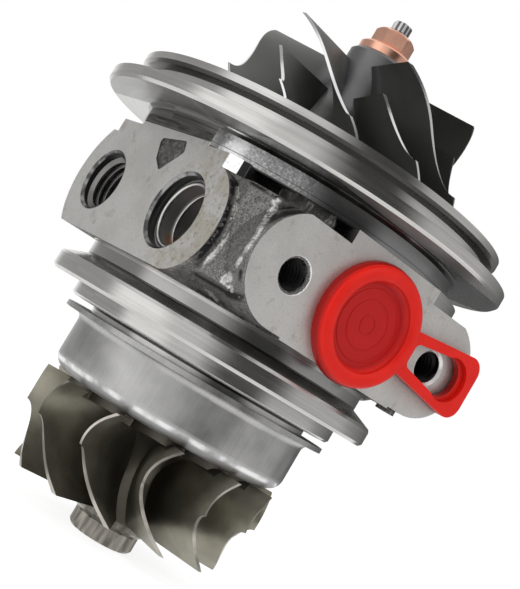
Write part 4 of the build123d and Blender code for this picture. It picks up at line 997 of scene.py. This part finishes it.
def piece(name, vertices, faces, material, body, sharp=SMOOTH_ANGLE):
    """New mesh that rides on a body, smooth up to an angle in degrees."""
    mesh = bpy.data.meshes.new(name)
    mesh.from_pydata([tuple(v) for v in vertices], [], faces)
    mesh.materials.append(material)
    bm = bmesh.new()
    bm.from_mesh(mesh)
    bmesh.ops.recalc_face_normals(bm, faces=bm.faces)
    for face in bm.faces:
        face.smooth = True
    bm.to_mesh(mesh)
    bm.free()
    mesh.set_sharp_from_angle(angle=radians(sharp))
    made = link(name, mesh)
    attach(made, body)
    return made


def tube(rows, count):
    """Faces between rows of vertices that each close on themselves, with a cap at both ends."""
    faces = []
    for i in range(rows - 1):
        for j in range(count):
            k = (j + 1) % count
            faces.append((i * count + j, i * count + k, (i + 1) * count + k, (i + 1) * count + j))
    faces.append(tuple(range(count)))
    faces.append(tuple((rows - 1) * count + j for j in range(count)))
    return faces


def thread(name, start, inward, radius, pitch, turns, material):
    """Helical ridge inside a hole; start is the centre of its mouth and inward points into it."""
    inward = Vector(inward)
    side = inward.orthogonal().normalized()
    other = inward.cross(side)
    depth = THREAD_SHARE * pitch
    vertices = []
    steps = int(turns * THREAD_STEPS)
    for i in range(steps + 1):
        turn = i / THREAD_STEPS
        angle = 2 * pi * turn
        ends = min(1.0, turn / THREAD_RUN_OUT, (turns - turn) / THREAD_RUN_OUT)
        rise = max(ends, THREAD_LEAST)
        for along, height in THREAD_PROFILE:
            lift = height * rise if height > 0 else height
            r = radius - lift * depth
            place = Vector(start) + inward * (turn + along) * pitch
            vertices.append(place + side * (r * cos(angle)) + other * (r * sin(angle)))
    piece(name, vertices, tube(steps + 1, len(THREAD_PROFILE)), material, HOUSING_BODY)


def lathed(name, centre, axis, profile, material, body, count=RING_STEPS):
    """Closed ring turned about an axis through a centre, from (radius, height) corners."""
    axis = Vector(axis)
    side = axis.orthogonal().normalized()
    other = axis.cross(side)
    vertices = []
    for i in range(count):
        angle = 2 * pi * i / count
        out = side * cos(angle) + other * sin(angle)
        vertices += [Vector(centre) + out * r + axis * h for r, h in profile]
    size = len(profile)
    faces = []
    for i in range(count):
        for j in range(size):
            k = (j + 1) % size
            n = (i + 1) % count
            faces.append((i * size + j, i * size + k, n * size + k, n * size + j))
    piece(name, vertices, faces, material, body)


def bead(radius, half, rise, sink, steps):
    """Half-round profile of a raised ring."""
    arc = [(radius - half * cos(pi * i / steps), rise * sin(pi * i / steps)) for i in range(steps + 1)]
    return arc + [(radius + half, -sink), (radius - half, -sink)]


def add_threads():
    """Threads of the coolant port, the two drain screws and the oil feed: M12, M6 and M10."""
    steel = plain_metal("thread_steel", (0.24, 0.235, 0.23), 0.32)
    # Near black threads in the drain screws' holes: painted shade
    shaded_screw_steel = plain_metal("screw_thread_shaded_steel", (0.02, 0.0195, 0.019), 0.42)
    coolant_mouth = (-SIDE_FACE + 0.25 * MM, THREADED_PORT[0], PORT_Z)
    thread("coolant_thread", coolant_mouth, (1, 0, 0), *COOLANT_THREAD, steel)
    for label, at_x in (("near", -DRAIN_SCREW_X), ("far", DRAIN_SCREW_X)):
        screw_mouth = (at_x, -DRAIN_FACE + 0.4 * MM, PORT_Z)
        thread("drain_screw_thread_" + label, screw_mouth, (0, 1, 0), *SCREW_THREAD, shaded_screw_steel)
    feed_mouth = (0, FEED_FACE - 0.6 * MM, PORT_Z)
    thread("oil_feed_thread", feed_mouth, (0, -1, 0), *FEED_THREAD, steel)


def add_port_lip():
    """Rounded bright lips on the steps inside the second coolant port."""
    steel = plain_metal("lip_steel", (0.66, 0.65, 0.63), 0.24)
    for label, inward, radius, half in PORT_LIPS:
        lathed("coolant_port_lip_" + label, (STEP_X + inward * MM, STEPPED_PORT[0], PORT_Z), (-1, 0, 0),
               bead(radius * MM, half * MM, half * MM, LIP_SINK, LIP_ARC), steel, HOUSING_BODY)


def add_cap_trim(red):
    """Plain raised rings on the floor of the cap's recess, and the rounded crown on its rim."""
    outward = (0, -1, 0)
    for i, radius in enumerate(CAP_RINGS):
        lathed("cap_ring_%d" % i, (0, CAP_FLOOR, PORT_Z), outward,
               bead(radius * MM, *CAP_RING_SIZE, LIP_SINK, CAP_RING_ARC), red, CAP_BODY)
    middle = (CAP_RECESS_R + CAP_SIDE_R) / 2
    lathed("cap_rim_crown", (0, -CAP_FRONT, PORT_Z), outward,
           bead(middle, CAP_SIDE_R - middle, CAP_RIM_RISE, CROWN_SINK, CROWN_ARC), red, CAP_BODY, CROWN_STEPS)


def rough_height(point, scale, octaves):
    """Fractal lumps at a point, about -1 to 1; scale is lumps to the metre."""
    return noise.fractal(point * scale, FRACTAL_ROUGH, FRACTAL_STEP, octaves)


def smooth_step(value, low, high):
    share = min(1.0, max(0.0, (value - low) / (high - low)))
    return share * share * (3 - 2 * share)


def wear_and_shade_piece(name, vertices, faces, material, wear_and_shade):
    """Smooth piece of the housing that keeps how rubbed each vertex is and how much painted shade it gets, for
    the material.
    """
    made = piece(name, vertices, faces, material, HOUSING_BODY, ALL_SMOOTH)
    made.data.attributes.new("wear_and_shade", "FLOAT", "POINT").data.foreach_set("value", wear_and_shade)


def as_lines(rows):
    """The rows with their corners as vectors."""
    return [([Vector(corner) for corner in corners], *rest) for corners, *rest in rows]


def from_line(point, corners):
    """Distance in millimetres from a point to a run of straight lines between corners."""
    point = point / MM
    gaps = []
    for a, b in zip(corners, corners[1:]):
        run = b - a
        share = min(1.0, max(0.0, (point - a).dot(run) / run.length_squared))
        gaps.append((point - a - run * share).length)
    return min(gaps)


def line_weight(point, lines):
    """How near a point is to one of the lines, each with its half width, softness and strength."""
    return max(weight * (1 - smooth_step(from_line(point, corners), reach, reach + soft))
               for corners, reach, soft, weight in lines)


def blurred(values, wide, tall, rounds):
    """Grid of values averaged with their four neighbours, round by round."""
    for _ in range(rounds):
        softer = list(values)
        for i in range(1, wide - 1):
            for j in range(1, tall - 1):
                k = i * tall + j
                around = values[k - 1] + values[k + 1] + values[k - tall] + values[k + tall]
                softer[k] = (values[k] + around / 4) / 2
        values = softer
    return values


def corner_rays():
    """Where rays towards the shaft meet the casting's corner, column by column, with 1 off the pads."""
    data = NODES["bearing_housing"].data
    solid = BVHTree.FromPolygons([v.co for v in data.vertices], [tuple(p.vertices) for p in data.polygons])
    wide, tall = SKIN_COLUMNS, SKIN_ROWS
    hits, keep = [], []
    for i in range(wide):
        angle = radians(SKIN_SPAN[0] + (SKIN_SPAN[1] - SKIN_SPAN[0]) * i / (wide - 1))
        out = Vector((cos(angle), sin(angle), 0))
        for j in range(tall):
            z = SKIN_LOW + (SKIN_HIGH - SKIN_LOW) * j / (tall - 1)
            spot, normal = solid.ray_cast(out * SKIN_FROM + Vector((0, 0, z)), -out)[:2]
            on_pad = spot.x < -SIDE_FACE + SKIN_OFF_PAD or spot.y < -DRAIN_FACE + SKIN_OFF_PAD
            hits.append((spot, normal))
            keep.append(0.0 if on_pad or j in (0, tall - 1) or i in (0, wide - 1) else 1.0)
    return hits, keep


def skin_faces(vertices, shares):
    """Faces of the skin's grid, without those on the pads or across a step."""
    wide, tall = SKIN_COLUMNS, SKIN_ROWS
    faces = []
    for i in range(wide - 1):
        for j in range(tall - 1):
            corners = (i * tall + j, i * tall + j + 1, (i + 1) * tall + j + 1, (i + 1) * tall + j)
            reach = max((vertices[a] - vertices[b]).length for a, b in zip(corners, corners[1:] + corners[:1]))
            if reach < SKIN_STRETCH and max(shares[k] for k in corners) > 0:
                faces.append(corners)
    return faces


def corner_skin(material):
    """Lumpy cast skin over the casting's corner between the two pads, laid on the solid by rays."""
    hits, keep = corner_rays()
    grid = SKIN_COLUMNS, SKIN_ROWS
    shares = [soft * kept for soft, kept in zip(blurred(keep, *grid, SKIN_BLURS), keep)]
    radii = [Vector(spot[:2]).length / MM for spot, _ in hits]
    hollows = [soft - own for soft, own in zip(blurred(radii, *grid, HOLLOW_BLURS), radii)]
    ridges, valleys = as_lines(CORNER_RIDGES), as_lines(CORNER_VALLEYS)
    vertices, wear_and_shade = [], []
    for (spot, normal), share, hollow in zip(hits, shares, hollows):
        ridge = line_weight(spot, ridges)
        valley = line_weight(spot, valleys)
        lumps = rough_height(spot, *SKIN_LUMPS)
        fine = rough_height(spot, *SKIN_FINE)
        height = SKIN_LIFT + LUMP_RISE * lumps + FINE_RISE * fine + ridge * (RIDGE_RISE + RIDGE_LUMPS * lumps)
        height = SKIN_SUNK + (height - SKIN_SUNK) * smooth_step(share, *SKIN_EDGE) * (1 - VALLEY_CUT * valley)
        vertices.append(spot + normal * height * MM)
        rubbed = smooth_step(ridge * (0.9 + lumps + 0.8 * fine), *RUBBED_SPAN)
        # Hollows and valleys get painted shade; rubbed ridges are wear
        dark = max(smooth_step(hollow + 0.15 * lumps, *HOLLOW_SPAN), valley * min(1.0, 0.95 + 0.5 * lumps))
        wear_and_shade.append(rubbed - (1 - rubbed) * dark)
    wear_and_shade_piece("corner_skin", vertices, skin_faces(vertices, shares), material, wear_and_shade)


def pocket_rubble(material):
    """Rough metal left standing in the right part of the pocket under the neck."""
    start, end = RUBBLE_SPAN
    vertices, wear_and_shade = [], []
    for i in range(RUBBLE_COLUMNS + 1):
        azimuth = start + (end - start) * i / RUBBLE_COLUMNS
        angle = radians(azimuth)
        out = Vector((cos(angle), sin(angle), 0))
        ends = smooth_step(azimuth, start, start + RUBBLE_RUN_IN)
        ends *= 1 - smooth_step(azimuth, end - RUBBLE_RUN_OUT, end)
        for r, z in RUBBLE_OUTLINE:
            place = out * r * MM + Vector((0, 0, z * MM))
            lumps = rough_height(place, *RUBBLE_LUMPS)
            fine = rough_height(place, *RUBBLE_FINE)
            free = smooth_step(r, *RUBBLE_FREE_R)
            radius = RUBBLE_ROOT_R + (r - RUBBLE_ROOT_R) * (RUBBLE_THIN + (1 - RUBBLE_THIN) * ends)
            radius += free * ends * (0.55 * lumps + 0.12 * fine - RUBBLE_BACK)
            height = z + free * ends * 0.35 * lumps
            vertices.append(out * radius * MM + Vector((0, 0, min(height, RUBBLE_TOP) * MM)))
            rubbed = smooth_step(free * (lumps + 0.6 * fine), *RUBBLE_RUBBED) * 0.8
            # The rubble, deep in the pocket, gets painted shade where it isn't rubbed
            wear_and_shade.append(rubbed - (1 - rubbed) * 0.45)
    faces = tube(RUBBLE_COLUMNS + 1, len(RUBBLE_OUTLINE))
    wear_and_shade_piece("pocket_rubble", vertices, faces, material, wear_and_shade)


make_stage()
finishes = paint_nodes()
add_threads()
add_port_lip()
add_cap_trim(finishes["drain_cap"])
skin = cast_skin_iron()
corner_skin(skin)
pocket_rubble(skin)
